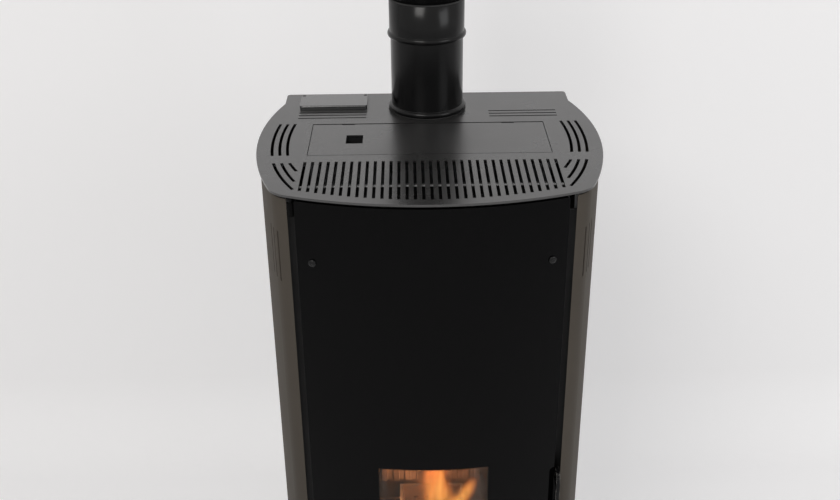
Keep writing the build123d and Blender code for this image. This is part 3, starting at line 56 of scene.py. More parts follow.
Point = tuple[float, float, float]
Stop = tuple[float, float]
Socket = bpy.types.NodeSocket
Sockets = Mapping[str, Socket]


# ---- shader building ----
class Graph:
    """A node tree with short calls for adding and joining nodes."""

    def __init__(self, tree: bpy.types.NodeTree) -> None:
        """Take over the node tree of a material, of the world or of a shader group."""
        self.tree = tree

    def feed(self, node: bpy.types.Node, inputs: dict) -> bpy.types.Node:
        """Fill or join a node's inputs; colours get full alpha.

        Args:
            node: the node.
            inputs: socket name or number to a value or to another node's output.

        Returns:
            The node.
        """
        for key, value in inputs.items():
            socket = node.inputs[key]
            if isinstance(value, Socket):
                self.tree.links.new(value, socket)
            else:
                socket.default_value = (*value, 1.0) if socket.type == "RGBA" else value
        return node

    def add(self, kind: str, inputs: dict | None = None, **settings: object) -> bpy.types.Node:
        """Add a node, set its properties and fill or join its inputs.

        Args:
            kind: the node's type name without the ShaderNode prefix.
            inputs: as in feed.
            settings: properties of the node itself.

        Returns:
            The new node.
        """
        node = self.tree.nodes.new("ShaderNode" + kind)
        for key, value in settings.items():
            setattr(node, key, value)
        return self.feed(node, inputs or {})

    def math(self, operation: str, *values: object, clamp: bool = False) -> Socket:
        """Return the result of an operation on numbers or outputs, kept between 0 and 1 if clamp is set."""
        return self.add("Math", dict(enumerate(values)), operation=operation, use_clamp=clamp).outputs[0]

    def blend(self, share: object, first: object, second: object) -> Socket:
        """Return the mix of two colours or outputs, by the share of the second."""
        return self.add("Mix", {0: share, 6: first, 7: second}, data_type="RGBA").outputs[2]

    def lerp(self, share: object, first: object, second: object) -> Socket:
        """Return the mix of two numbers or outputs, by the share of the second."""
        return self.add("Mix", {0: share, 2: first, 3: second}).outputs[0]

    def ramp(self, value: object, *stops: Stop) -> Socket:
        """Turn a value into a mask by a grey ramp.

        Args:
            value: the output to remap.
            stops: position and grey level, in order.

        Returns:
            The mask.
        """
        node = self.add("ValToRGB", {0: value})
        elements = node.color_ramp.elements
        for index, (position, level) in enumerate(stops):
            element = elements[index] if index < 2 else elements.new(position)
            element.position = position
            element.color = (level, level, level, 1.0)
        return node.outputs[0]

    def place(self) -> Socket:
        """Return the object's own coordinates."""
        return self.add("TexCoord").outputs["Object"]

    def stretched(self, factors: object) -> Socket:
        """Return the object's own coordinates, each multiplied by its factor."""
        return self.add("VectorMath", {0: self.place(), 1: factors}, operation="MULTIPLY").outputs[0]

    def noise(self, scale: object, detail: object, where: Socket | None = None, **more: object) -> Socket:
        """Return a noise's value where it is asked for, or else at the object's own coordinates."""
        place = self.place() if where is None else where
        return self.add("TexNoise", {"Vector": place, "Scale": scale, "Detail": detail, **more}).outputs[0]


def effect(**inputs: float | Point) -> Callable:
    """Turn a function into a shader group, which is built once, and its name into the call that places the group.

    Args:
        inputs: the group's inputs and their defaults, numbers or vectors.

    Returns:
        A decorator for a function that gets the group's graph and inputs and returns its outputs.
    """
    def wrap(fill: Callable[[Graph, Sockets], Sockets]) -> Callable[..., Sockets]:
        """Build the group of one function.

        Args:
            fill: the function.

        Returns:
            The call that places the group.
        """
        tree = bpy.data.node_groups.new(fill.__name__, "ShaderNodeTree")
        for key, default in inputs.items():
            kind = "NodeSocketVector" if isinstance(default, tuple) else "NodeSocketFloat"
            tree.interface.new_socket(name=key, in_out="INPUT", socket_type=kind).default_value = default
        graph = Graph(tree)
        results = fill(graph, tree.nodes.new("NodeGroupInput").outputs)
        for key in results:
            tree.interface.new_socket(name=key, in_out="OUTPUT", socket_type="NodeSocketFloat")
        graph.feed(tree.nodes.new("NodeGroupOutput"), results)

        def place(g: Graph, **values: object) -> Sockets:
            """Place the group in a material.

            Args:
                g: the material's graph.
                values: values or outputs by input name.

            Returns:
                The placed node's outputs.
            """
            node = g.tree.nodes.new("ShaderNodeGroup")
            node.node_tree = tree
            return g.feed(node, values).outputs
        return place
    return wrap


@effect(Scale=12.0, Detail=4.0)
def mottle(g: Graph, given: Sockets) -> Sockets:
    """Return slow patchy variation, as a mask between 0 and 1."""
    return {"Mask": g.ramp(g.noise(given["Scale"], given["Detail"]), (0.3, 0.0), (0.7, 1.0))}


@effect(Scale=900.0, Roughness=0.5)
def grain(g: Graph, given: Sockets) -> Sockets:
    """Return the even fine relief of sprayed paint, moulding or casting, as a height."""
    return {"Height": g.noise(given["Scale"], detail=3.0, Roughness=given["Roughness"])}


@effect(Stretch=(4.0, 400.0, 400.0))
def streaks(g: Graph, given: Sockets) -> Sockets:
    """Return long fine lines along one direction, as a mask, for rolled or brushed metal."""
    return {"Mask": g.noise(scale=1.0, detail=4.0, where=g.stretched(given["Stretch"]))}


@effect(Radius=0.0008, Gain=9.0, Amount=0.5)
def edge_wear_and_highlight(g: Graph, given: Sockets) -> Sockets:
    """Draw a broken light line along sharp edges: partly edge wear, partly a painted edge highlight.

    Args:
        g: the group's graph.
        given: how wide an edge it finds, how strongly and how much of it shows.

    Returns:
        The line's mask.
    """
    rounded = g.add("Bevel", {"Radius": given["Radius"]}, samples=4).outputs[0]
    flat = g.add("NewGeometry").outputs["Normal"]
    turn = g.add("VectorMath", {0: rounded, 1: flat}, operation="DOT_PRODUCT").outputs["Value"]
    edge = g.math("MULTIPLY", g.math("SUBTRACT", 1.0, turn, clamp=True), given["Gain"], clamp=True)
    broken = g.ramp(g.noise(scale=70.0, detail=6.0), (0.42, 0.0), (0.62, 1.0))
    return {"Mask": g.math("MULTIPLY", g.math("MULTIPLY", edge, broken), given["Amount"], clamp=True)}


@effect(Amount=0.2, Scale=30.0)
def dust(g: Graph, given: Sockets) -> Sockets:
    """Settle a thin layer on faces that look up.

    Args:
        g: the group's graph.
        given: how much there is and how fine its patches are.

    Returns:
        The layer's mask.
    """
    up = g.add("SeparateXYZ", {0: g.add("NewGeometry").outputs["Normal"]}).outputs["Z"]
    patches = g.ramp(g.noise(given["Scale"], detail=5.0), (0.35, 0.2), (0.7, 1.0))
    specks = g.ramp(g.noise(scale=1400.0, detail=1.0), (0.45, 0.3), (0.72, 1.0))
    level = g.math("MULTIPLY", g.math("MAXIMUM", up, 0.0), given["Amount"])
    return {"Mask": g.math("MULTIPLY", g.math("MULTIPLY", patches, specks), level, clamp=True)}


@effect(Scale=120.0)
def flakes(g: Graph, given: Sockets) -> Sockets:
    """Scatter small plates of random tone, for zinc spangle and pressed board.

    Args:
        g: the group's graph.
        given: how fine they are.

    Returns:
        Their tone as a mask, and their height.
    """
    cells = g.add("TexVoronoi", {"Vector": g.place(), "Scale": given["Scale"]}).outputs
    tone = g.add("SeparateColor", {0: cells["Color"]}).outputs[0]
    return {"Mask": tone, "Height": g.math("SUBTRACT", 1.0, cells["Distance"])}


# ---- finishes ----
class Grain(Enum):
    """The fine surface relief of a finish."""

    FINE = "sprayed or moulded"
    BRUSHED = "brushed"
    CAST = "cast"
    BOARD = "pressed board"
    WOVEN = "woven"


@dataclass(frozen=True)
class Surface:
    """What a piece looks like; each kind fills in the shader in its own way."""

    name: str

    def inputs(self, g: Graph) -> dict[str, object]:
        """Return the shader's inputs by name, as values or as outputs in the material's graph."""
        raise NotImplementedError

    def material(self) -> bpy.types.Material:
        """Return the Blender material, built at the first call.

        Returns:
            The material of this surface.
        """
        name = self.name + "_finish"
        material = bpy.data.materials.get(name)
        if not material:
            material = bpy.data.materials.new(name)
            material.use_nodes = True
            g = Graph(material.node_tree)
            g.feed(material.node_tree.nodes["Principled BSDF"], self.inputs(g))
        return material


@dataclass(frozen=True)
class Finish(Surface):
    """An opaque finish: its colour, gloss, relief, variation, edge wear with painted edge highlights, and dust."""

    colour: Colour
    roughness: float
    metallic: float = 0.0
    grain: Grain = Grain.FINE
    grain_scale: float = 900.0
    relief: float = 2e-5
    variation: float = 0.12
    patch_scale: float = 9.0
    # light edge lines, partly wear and partly painted edge highlight, and their colour
    wear_and_highlight: float = 0.0
    wear_and_highlight_colour: Colour = (0.32, 0.31, 0.3)
    dust: float = 0.0
    dust_colour: Colour = (0.42, 0.4, 0.37)
    specular: float = 0.5
    coat: float = 0.0
    coat_roughness: float = 0.08
    stain: Colour | None = None

    duller: float = 0.05         # how far the roughness rises and
    glossier: float = 0.04       # falls from patch to patch
    tone_share: float = 0.35     # how far the grain's own tone shows
    tone_level: float = 0.6      # and its brightness against the colour
    stain_share: float = 0.7
    stain_scale: float = 3.0     # how much finer the stain is than the patches
    stain_detail: float = 8.0
    worn_roughness: float = 0.35
    dusty_roughness: float = 0.85
    least_roughness: float = 0.02
    fine_grain: float = 0.5      # how rough the noise of paint is
    cast_grain: float = 0.75     # and that of a casting
    weave_distortion: float = 3.0

    def texture(self, g: Graph) -> tuple[Socket | None, Socket]:
        """Return what this finish's grain gives.

        Args:
            g: the material's graph.

        Returns:
            The mask of its darker places, where it has some, and its height.
        """
        if self.grain is Grain.BRUSHED:
            lines = streaks(g)["Mask"]
            return lines, lines
        if self.grain is Grain.BOARD:
            plates = flakes(g, Scale=self.grain_scale)
            return plates["Mask"], plates["Height"]
        if self.grain is Grain.WOVEN:
            inputs = {"Vector": g.place(), "Scale": self.grain_scale, "Distortion": self.weave_distortion}
            return None, g.add("TexWave", inputs, bands_direction="DIAGONAL").outputs[1]
        roughness = self.cast_grain if self.grain is Grain.CAST else self.fine_grain
        return None, grain(g, Scale=self.grain_scale, Roughness=roughness)["Height"]

    def shade(self, level: float) -> Colour:
        """Return the colour at another brightness."""
        return tuple(min(1.0, c * level) for c in self.colour)

    def inputs(self, g: Graph) -> dict[str, object]:
        """Lay patches, grain, stain, edge wear with painted edge highlights, and dust over each other.

        Args:
            g: the material's graph.

        Returns:
            The shader's inputs by name.
        """
        patches = mottle(g, Scale=self.patch_scale)["Mask"]
        colour = g.blend(patches, self.shade(1 - self.variation), self.shade(1 + self.variation))
        low, high = self.roughness - self.glossier, self.roughness + self.duller
        rough = g.lerp(patches, max(self.least_roughness, low), min(1.0, high))
        tone, height = self.texture(g)
        if tone is not None:
            colour = g.blend(g.math("MULTIPLY", tone, self.tone_share), colour, self.shade(self.tone_level))
        if self.stain:
            blot = mottle(g, Scale=self.patch_scale * self.stain_scale, Detail=self.stain_detail)["Mask"]
            colour = g.blend(g.math("MULTIPLY", blot, self.stain_share), colour, self.stain)
        # the edge mask paints worn edges together with painted edge highlights
        if self.wear_and_highlight:
            mask = edge_wear_and_highlight(g, Amount=self.wear_and_highlight)["Mask"]
            colour, rough = g.blend(mask, colour, self.wear_and_highlight_colour), g.lerp(mask, rough, self.worn_roughness)
        if self.dust:
            mask = dust(g, Amount=self.dust)["Mask"]
            colour, rough = g.blend(mask, colour, self.dust_colour), g.lerp(mask, rough, self.dusty_roughness)
        result = {
            "Base Color": colour, "Roughness": rough, "Metallic": self.metallic, "Specular IOR Level": self.specular,
            "Normal": g.add("Bump", {"Height": height, "Distance": self.relief}).outputs[0],
        }
        if self.coat:
            result |= {"Coat Weight": self.coat, "Coat Roughness": self.coat_roughness}
        return result


@dataclass(frozen=True)
class WindowGlass(Surface):
    """Glossy glass, printed black behind, with a clear window whose edge is a fine line."""

    name: str = "window_glass"
    half_width: float = 0.0745
    low: float = 0.3535
    high: float = 0.5535
    edge: float = 0.0012
    print_colour: Colour = (0.0012, 0.0012, 0.0014)
    speck_colour: Colour = (0.00384, 0.00384, 0.00448)
    clear_colour: Colour = (0.05, 0.042, 0.036)
    clear_alpha: float = 0.1
    rim: float = 0.004
    rim_alpha: float = 0.35
    roughness: float = 0.02
    smear_roughness: float = 0.07
    ripple: float = 0.0004
    specular: float = 0.075
    speck_scale: float = 1100.0
    speck_stops: tuple[Stop, Stop] = ((0.66, 0.0), (0.74, 1.0))
    smear_scale: float = 14.0
    smear_detail: float = 6.0
    ripple_scale: float = 5.0
    ripple_detail: float = 1.0

    def inside(self, g: Graph) -> Socket:
        """Return how far a point lies within the clear window's edge.

        Args:
            g: the material's graph.

        Returns:
            The distance, below zero outside.
        """
        place = g.add("SeparateXYZ", {0: g.place()}).outputs
        across = g.math("SUBTRACT", self.half_width, g.math("ABSOLUTE", place["X"]))
        above = g.math("SUBTRACT", place["Z"], self.low)
        below = g.math("SUBTRACT", self.high, place["Z"])
        return g.math("MINIMUM", across, g.math("MINIMUM", above, below))

    def inputs(self, g: Graph) -> dict[str, object]:
        """Print the glass black outside its window, with specks, smears and ripples.

        Args:
            g: the material's graph.

        Returns:
            The shader's inputs by name.
        """
        depth = self.inside(g)
        clear = g.math("DIVIDE", depth, self.edge, clamp=True)
        faded = g.lerp(g.math("DIVIDE", depth, self.rim, clamp=True), self.rim_alpha, self.clear_alpha)
        specks = g.ramp(grain(g, Scale=self.speck_scale)["Height"], *self.speck_stops)
        smears = mottle(g, Scale=self.smear_scale, Detail=self.smear_detail)["Mask"]
        ripples = mottle(g, Scale=self.ripple_scale, Detail=self.ripple_detail)["Mask"]
        return {
            "Specular IOR Level": self.specular,
            "Base Color": g.blend(clear, g.blend(specks, self.print_colour, self.speck_colour), self.clear_colour),
            "Alpha": g.lerp(clear, 1.0, faded),
            "Roughness": g.lerp(smears, self.roughness, self.smear_roughness),
            "Normal": g.add("Bump", {"Height": ripples, "Distance": self.ripple}).outputs[0],
        }


@dataclass(frozen=True)
class PaneGlass(Surface):
    """The clear heat-proof pane behind the front glass, with a little soot round its edge."""

    name: str = "pane_glass"
    colour: Colour = (0.3, 0.28, 0.25)
    soot_colour: Colour = (0.03, 0.025, 0.02)
    alpha: float = 0.07
    soot_alpha: float = 0.75
    roughness: float = 0.06
    soot_roughness: float = 0.5
    half_width: float = 0.08
    shift: float = 0.006
    middle: float = 0.451
    half_height: float = 0.116
    rim_stops: tuple[Stop, Stop] = ((0.7, 0.0), (1.0, 1.0))
    blot_scale: float = 40.0
    blot_detail: float = 7.0
    blot_levels: tuple[float, float] = (0.4, 1.0)

    def inputs(self, g: Graph) -> dict[str, object]:
        """Let blotched soot thicken towards the rim.

        Args:
            g: the material's graph.

        Returns:
            The shader's inputs by name.
        """
        place = g.add("SeparateXYZ", {0: g.place()}).outputs
        across = g.math("ABSOLUTE", g.math("ADD", place["X"], self.shift))
        upward = g.math("ABSOLUTE", g.math("SUBTRACT", place["Z"], self.middle))
        across, upward = g.math("DIVIDE", across, self.half_width), g.math("DIVIDE", upward, self.half_height)
        rim = g.ramp(g.math("MAXIMUM", across, upward), *self.rim_stops)
        blots = mottle(g, Scale=self.blot_scale, Detail=self.blot_detail)["Mask"]
        soot = g.math("MULTIPLY", rim, g.lerp(blots, *self.blot_levels))
        return {
            "Base Color": g.blend(soot, self.colour, self.soot_colour),
            "Alpha": g.lerp(soot, self.alpha, self.soot_alpha),
            "Roughness": g.lerp(soot, self.roughness, self.soot_roughness),
        }


@dataclass(frozen=True)
class Glow(Surface):
    """Burning gas or embers: light of its own, hotter low down; a sheer one is thin at its edges."""

    hot: Colour
    cool: Colour
    strength: float
    low: float
    high: float
    sheer: bool
    lick_stretch: Point = (90.0, 90.0, 14.0)
    lick_share: float = 0.9
    lick_detail: float = 3.0
    lick_distortion: float = 0.6
    even_body: float = 0.7       # the density at which a flame is as warm as its height says
    wisp_stops: tuple[Stop, Stop] = ((0.3, 0.3), (0.6, 1.0))
    fade_stops: tuple[Stop, Stop] = ((0.55, 1.0), (1.0, 0.15))
    dark: Colour = (0.02, 0.008, 0.004)
    ash: Colour = (0.06, 0.03, 0.02)

    def inputs(self, g: Graph) -> dict[str, object]:
        """Let the glow cool upwards and in licks.

        Args:
            g: the material's graph.

        Returns:
            The shader's inputs by name.
        """
        height = g.add("SeparateXYZ", {0: g.place()}).outputs["Z"]
        rise = g.math("DIVIDE", g.math("SUBTRACT", height, self.low), self.high - self.low, clamp=True)
        where = g.stretched(self.lick_stretch)
        licks = g.noise(1.0, self.lick_detail, where, Distortion=self.lick_distortion)
        drift = g.math("MULTIPLY", g.math("SUBTRACT", licks, 0.5), self.lick_share)
        warmth = g.math("ADD", rise, drift, clamp=True)
        result = {"Emission Strength": self.strength, "Roughness": 0.9, "Specular IOR Level": 0.0}
        if self.sheer:
            body = g.add("Attribute", attribute_name="body").outputs["Fac"]
            thin = g.math("MULTIPLY", g.math("SUBTRACT", self.even_body, body), self.lick_share)
            warmth = g.math("ADD", warmth, thin, clamp=True)
            wisps, fade = g.ramp(licks, *self.wisp_stops), g.ramp(rise, *self.fade_stops)
            result["Alpha"] = g.math("MULTIPLY", g.math("MULTIPLY", body, wisps), fade, clamp=True)
        result["Emission Color"] = g.blend(warmth, self.hot, self.cool)
        result["Base Color"] = g.blend(licks, self.dark, self.ash)
        return result


# In these finishes the light edge lines are worn paint and painted edge highlights together.
PLATE = Finish("plate_paint", (0.017, 0.0168, 0.017), 0.28, grain_scale=1500, relief=1e-5, variation=0.08, wear_and_highlight=0.14,
               wear_and_highlight_colour=(0.2, 0.2, 0.2), dust=0.03, specular=1.0, coat=0.15, coat_roughness=0.25)
# Lighter, warm paint with little gloss: the panels' own dark paint plus a painted warm reflection of the
# surroundings.
PANEL_PAINT_AND_REFLECTION = Finish("panel_paint", (0.086, 0.075, 0.063), 0.6, grain_scale=1500, variation=0.06, wear_and_highlight=0.16,
               wear_and_highlight_colour=(0.2, 0.19, 0.18), dust=0.03, specular=0.06)
FRAME_BLACK = Finish("frame_black", (0.002, 0.002, 0.0021), 0.55, grain_scale=1100, relief=3e-5, wear_and_highlight=0.04, dust=0.01,
                     specular=0.05)
BLACK_PAINT = Finish("heat_paint", (0.014, 0.014, 0.0145), 0.6, grain_scale=1100, relief=4e-5, wear_and_highlight=0.2, dust=0.12)
# Warm brown: heat paint with painted orange firelight in its colour; its stain and dust are real soot and ash.
FIREBOX_PAINT_AND_FIRELIGHT = Finish("firebox_paint_and_firelight", (0.13, 0.078, 0.05), 0.8, grain_scale=500, relief=1e-4, variation=0.25,
                       patch_scale=18, dust=0.5, dust_colour=(0.3, 0.21, 0.16), stain=(0.05, 0.034, 0.026))
ENAMEL = Finish("flue_enamel", (0.003, 0.003, 0.0032), 0.21, grain_scale=1300, relief=1e-5, variation=0.1, wear_and_highlight=0.06,
                dust=0.015, specular=0.22)
GALVANISED = Finish("galvanised", (0.56, 0.58, 0.6), 0.34, metallic=1.0, grain=Grain.BOARD, grain_scale=90,
                    relief=1e-5, dust=0.2)
EDGE_ZINC = Finish("edge_zinc", (0.7, 0.7, 0.71), 0.5, metallic=0.2, grain=Grain.BRUSHED, relief=1e-5, variation=0.2)
ZINC = Finish("zinc_plate", (0.52, 0.52, 0.53), 0.3, metallic=1.0, grain=Grain.BRUSHED, relief=1e-5, dust=0.1)
BARE_STEEL = Finish("bare_steel", (0.42, 0.41, 0.4), 0.28, metallic=1.0, grain=Grain.BRUSHED)
SCREW_BLACK = Finish("screw_black", (0.004, 0.004, 0.0042), 0.18, grain_scale=1400, wear_and_highlight=0.3,
                     wear_and_highlight_colour=(0.3, 0.3, 0.3), specular=0.25)
# Blacker than the black paint: painted shade of the dark reveal beside the door, where the door hinges sit.
HINGE_BLACK_AND_SHADE = Finish("hinge_black_and_shade", (0.002, 0.002, 0.0022), 0.5, grain_scale=1100, relief=3e-5, specular=0.12)
CUT_SHEET = Finish("cut_sheet", (0.012, 0.012, 0.0125), 0.55, grain_scale=1100, relief=3e-5, wear_and_highlight=1.0,
                   wear_and_highlight_colour=(0.62, 0.62, 0.64))
# The handle's bright edge line is worn paint and a painted highlight of its polished edge.
HANDLE = Finish("handle_black", (0.006, 0.006, 0.0065), 0.24, grain_scale=1300, relief=1e-5, wear_and_highlight=0.9,
                wear_and_highlight_colour=(0.55, 0.53, 0.5), specular=0.12)
POT_IRON = Finish("pot_iron", (0.09, 0.08, 0.075), 0.62, metallic=0.7, grain=Grain.CAST, grain_scale=420,
                  relief=2.5e-4, variation=0.3, patch_scale=30, wear_and_highlight=0.4, dust=0.4, dust_colour=(0.35, 0.32, 0.3),
                  stain=(0.14, 0.07, 0.035))
CASTING = Finish("fan_casting", (0.46, 0.46, 0.47), 0.45, metallic=1.0, grain=Grain.CAST, grain_scale=600,
                 relief=8e-5)
MOTOR = Finish("motor_enamel", (0.03, 0.03, 0.032), 0.4, grain_scale=700, wear_and_highlight=0.2, dust=0.3)
BOARD = Finish("liner_board", (0.14, 0.09, 0.064), 0.9, grain=Grain.BOARD, grain_scale=260, relief=0.0004,
               variation=0.2, patch_scale=16, stain=(0.045, 0.03, 0.024))
ROPE = Finish("rope_seal", (0.16, 0.155, 0.15), 0.95, grain=Grain.WOVEN, grain_scale=420, relief=0.0003,
              variation=0.25)
RUBBER = Finish("seal_rubber", (0.012, 0.012, 0.012), 0.7, grain_scale=800)
FOOT = Finish("foot_plastic", (0.016, 0.016, 0.0165), 0.6, wear_and_highlight=0.1, dust=0.3)
PLASTIC = Finish("black_plastic", (0.012, 0.012, 0.0125), 0.5, grain_scale=1800, relief=4e-5)
FLAP = Finish("flap_plastic", (0.013, 0.013, 0.0135), 0.16, grain_scale=1200, relief=5e-6, variation=0.05, dust=0.04,
              coat=0.5, specular=1.0)
SWITCH = Finish("switch_plastic", (0.01, 0.01, 0.01), 0.2, relief=1e-5)
CASE = Finish("board_case", (0.06, 0.06, 0.062), 0.55, grain_scale=1500, dust=0.3)
DISPLAY = Finish("display_pane", (0.004, 0.006, 0.006), 0.06, relief=2e-6, variation=0.2, coat=0.6)
KEY = Finish("key_rubber", (0.11, 0.11, 0.115), 0.55, grain_scale=1500)
ASH = Finish("ash", (0.3, 0.28, 0.265), 0.98, grain=Grain.CAST, grain_scale=500, relief=0.0012, variation=0.25,
             patch_scale=35)

FLAME = Glow("flame", (1.0, 0.42, 0.09), (1.0, 0.19, 0.03), 1.3, 0.42, 0.52, True)
EMBER = Glow("ember", (1.0, 0.3, 0.05), (0.5, 0.07, 0.01), 2.0, 0.365, 0.395, False)


# ---- mesh building ----
def turns(count: int) -> list[float]:
    """Return equal steps round a circle, in radians from 0."""
    return [2 * math.pi * k / count for k in range(count)]


def new_object(name: str, data: bpy.types.ID, place: Matrix) -> bpy.types.Object:
    """Put an object in the scene.

    Args:
        name: its name.
        data: its mesh, camera or light.
        place: where it stands and how it is turned.

    Returns:
        The object.
    """
    made = bpy.data.objects.new(name, data)
    made.matrix_world = place
    bpy.context.scene.collection.objects.link(made)
    return made


class Shape:
    """A mesh in the making, in metres in the row frame."""

    def __init__(self) -> None:
        """Start without faces."""
        self.mesh = bmesh.new()

    def dot(self, x: float, y: float, z: float) -> bmesh.types.BMVert:
        """Add a vertex and return it."""
        return self.mesh.verts.new((x, y, z))

    def skin(self, rows: list[list[bmesh.types.BMVert]], closed: bool = False) -> None:
        """Join rows of vertices by faces.

        Args:
            rows: rows of one length.
            closed: whether each row, and the stack of rows, closes on itself.
        """
        if closed:
            rows = [[*row, row[0]] for row in (*rows, rows[0])]
        for low, high in zip(rows, rows[1:]):
            for k in range(len(low) - 1):
                self.mesh.faces.new((low[k], low[k + 1], high[k + 1], high[k]))

    def turned(self, profile: list[tuple[float, float]], place: Matrix, sides: int, ring: bool = False) -> None:
        """Add a turned body.

        Args:
            profile: radius and height pairs, from the axis to the axis, or round the section of a ring.
            place: the matrix that puts its axis, local Z, in place.
            sides: how many facets round it has.
            ring: whether the profile closes on itself away from the axis.
        """
        rings = []
        for radius, height in profile:
            steps = turns(sides) if radius else [0.0]
            spots = (Vector((radius * math.cos(a), radius * math.sin(a), height)) for a in steps)
            rings.append([self.dot(*(place @ spot)) for spot in spots])
        if ring:
            rings.append(rings[0])
        for low, high in zip(rings, rings[1:]):
            for k in range(sides):
                corners = low[k % len(low)], low[(k + 1) % len(low)], high[(k + 1) % len(high)], high[k % len(high)]
                unique = list(dict.fromkeys(corners))
                if len(unique) > 2:
                    self.mesh.faces.new(unique)

    def block(self, low: Point, high: Point, edge: float) -> None:
        """Add a block with rounded edges.

        Args:
            low: its lowest corner.
            high: its highest corner.
            edge: how far its edges are rounded.
        """
        size, middle = Vector(high) - Vector(low), (Vector(high) + Vector(low)) / 2
        place = Matrix.Translation(middle) @ Matrix.Diagonal((*size, 1.0))
        made = bmesh.ops.create_cube(self.mesh, size=1.0, matrix=place)
        edges = list({e for v in made["verts"] for e in v.link_edges})
        bmesh.ops.bevel(self.mesh, geom=edges, offset=edge, segments=3, affect="EDGES", profile=0.5)

    def finished(self, name: str, finish: Surface, smooth: bool = True) -> bpy.types.Object:
        """Turn the shape into an object, after which nothing can be added.

        Args:
            name: the object's name.
            finish: the finish it wears.
            smooth: whether its faces are shaded smooth.

        Returns:
            The object.
        """
        data = bpy.data.meshes.new(name)
        self.mesh.to_mesh(data)
        self.mesh.free()
        data.materials.append(finish.material())
        data.polygons.foreach_set("use_smooth", [smooth] * len(data.polygons))
        return new_object(name, data, Matrix())

    def piece(self, name: str, finish: Surface, body: str, slot: str, smooth: bool = True) -> bpy.types.Object:
        """Turn the shape into a piece that rides on a body.

        Args:
            name: the piece's name.
            finish: the finish it wears.
            body: the CAD body that carries it.
            slot: the name of a material slot; not used.
            smooth: whether its faces are shaded smooth.

        Returns:
            The piece.
        """
        bmesh.ops.recalc_face_normals(self.mesh, faces=self.mesh.faces)
        piece = self.finished(name, finish, smooth)
        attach(piece, body)
        LOG.info("piece %s on %s: %d faces", name, body, len(piece.data.polygons))
        return piece


# ---- pieces ----
class Assembly:
    """A part of the stove: the finishes of its CAD nodes, and the pieces that only the visual model has."""

    finishes: ClassVar[dict[str, Surface]] = {}

    def dress(self) -> None:
        """Give each CAD node its finish."""
        for node, finish in self.finishes.items():
            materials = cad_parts[node].data.materials
            if not materials:
                materials.append(None)
            for index in range(len(materials)):
                materials[index] = finish.material()
            LOG.info("node %s wears %s", node, finish.name)

    def build(self) -> None:
        """Add the pieces that only the visual model has; a plain part has none."""


@dataclass
class Casing(Assembly):
    """Top plate, panels, base, feet and the frame behind the door."""

    back_y: float = 0.176
    screw_x: float = 0.186
    screw_heights: tuple[float, ...] = (0.075, 0.36, 0.64, 0.905)
    screw_radius: float = 0.0042
    screw_sides: int = 24
    rim_half_x: float = 0.172
    rim_y: tuple[float, float] = (-0.1383, -0.134)
    rim_z: tuple[float, float] = (0.9412, 0.9424)
    rim_edge: float = 0.0003

    finishes: ClassVar[dict[str, Surface]] = {
        "top_plate": PLATE, "top_frame": BLACK_PAINT, "side_panel_left": PANEL_PAINT_AND_REFLECTION, "side_panel_right": PANEL_PAINT_AND_REFLECTION,
        "rear_panel": BLACK_PAINT, "base_plate": BLACK_PAINT, "front_plinth": BLACK_PAINT, "levelling_feet": FOOT,
        "chassis_posts": ZINC, "front_bulkhead": CUT_SHEET, "heat_shield": GALVANISED, "latch_striker": ZINC,
    }

    def build(self) -> None:
        """Add the rear panel's screws and the bulkhead's folded rim."""
        self.build_rear_screws()
        self.build_rim()

    def build_rim(self) -> None:
        """Fold a bare sheet rim along the top of the bulkhead, the light line under the slots."""
        shape = Shape()
        low, high = zip((-self.rim_half_x, self.rim_half_x), self.rim_y, self.rim_z)
        shape.block(low, high, self.rim_edge)
        shape.piece("bulkhead_rim", EDGE_ZINC, "stove_body", "galvanised_sheet", smooth=False)

    def build_rear_screws(self) -> None:
        """Set the pan-head screws that hold the rear panel to its posts."""
        shape = Shape()
        r = self.screw_radius
        head = [(0, -0.0004), (r, -0.0004), (r, 0.0006), (r * 0.93, 0.0012), (r * 0.7, 0.0017), (r * 0.3, 0.0019)]
        head.append((0, 0.0019))
        outward = Matrix.Rotation(math.radians(-90), 4, "X")
        for x in (-self.screw_x, self.screw_x):
            for z in self.screw_heights:
                shape.turned(head, Matrix.Translation((x, self.back_y, z)) @ outward, self.screw_sides)
        shape.piece("rear_panel_screw_heads", ZINC, "stove_body", "screw_steel")


@dataclass
class Feed(Assembly):
    """Hopper with its lid, auger and chute."""

    finishes: ClassVar[dict[str, Surface]] = {
        "hopper_lid": PLATE, "lid_finger_cup": PLASTIC, "lid_seal": RUBBER, "lid_hinge_bases": HINGE_BLACK_AND_SHADE,
        "lid_hinge_straps": HINGE_BLACK_AND_SHADE, "lid_hinge_pins": HINGE_BLACK_AND_SHADE, "hopper": GALVANISED,
        "hopper_funnel": GALVANISED, "auger_housing": ZINC, "auger_screw": BARE_STEEL, "auger_gearmotor": MOTOR,
        "pellet_chute": FIREBOX_PAINT_AND_FIRELIGHT,
    }


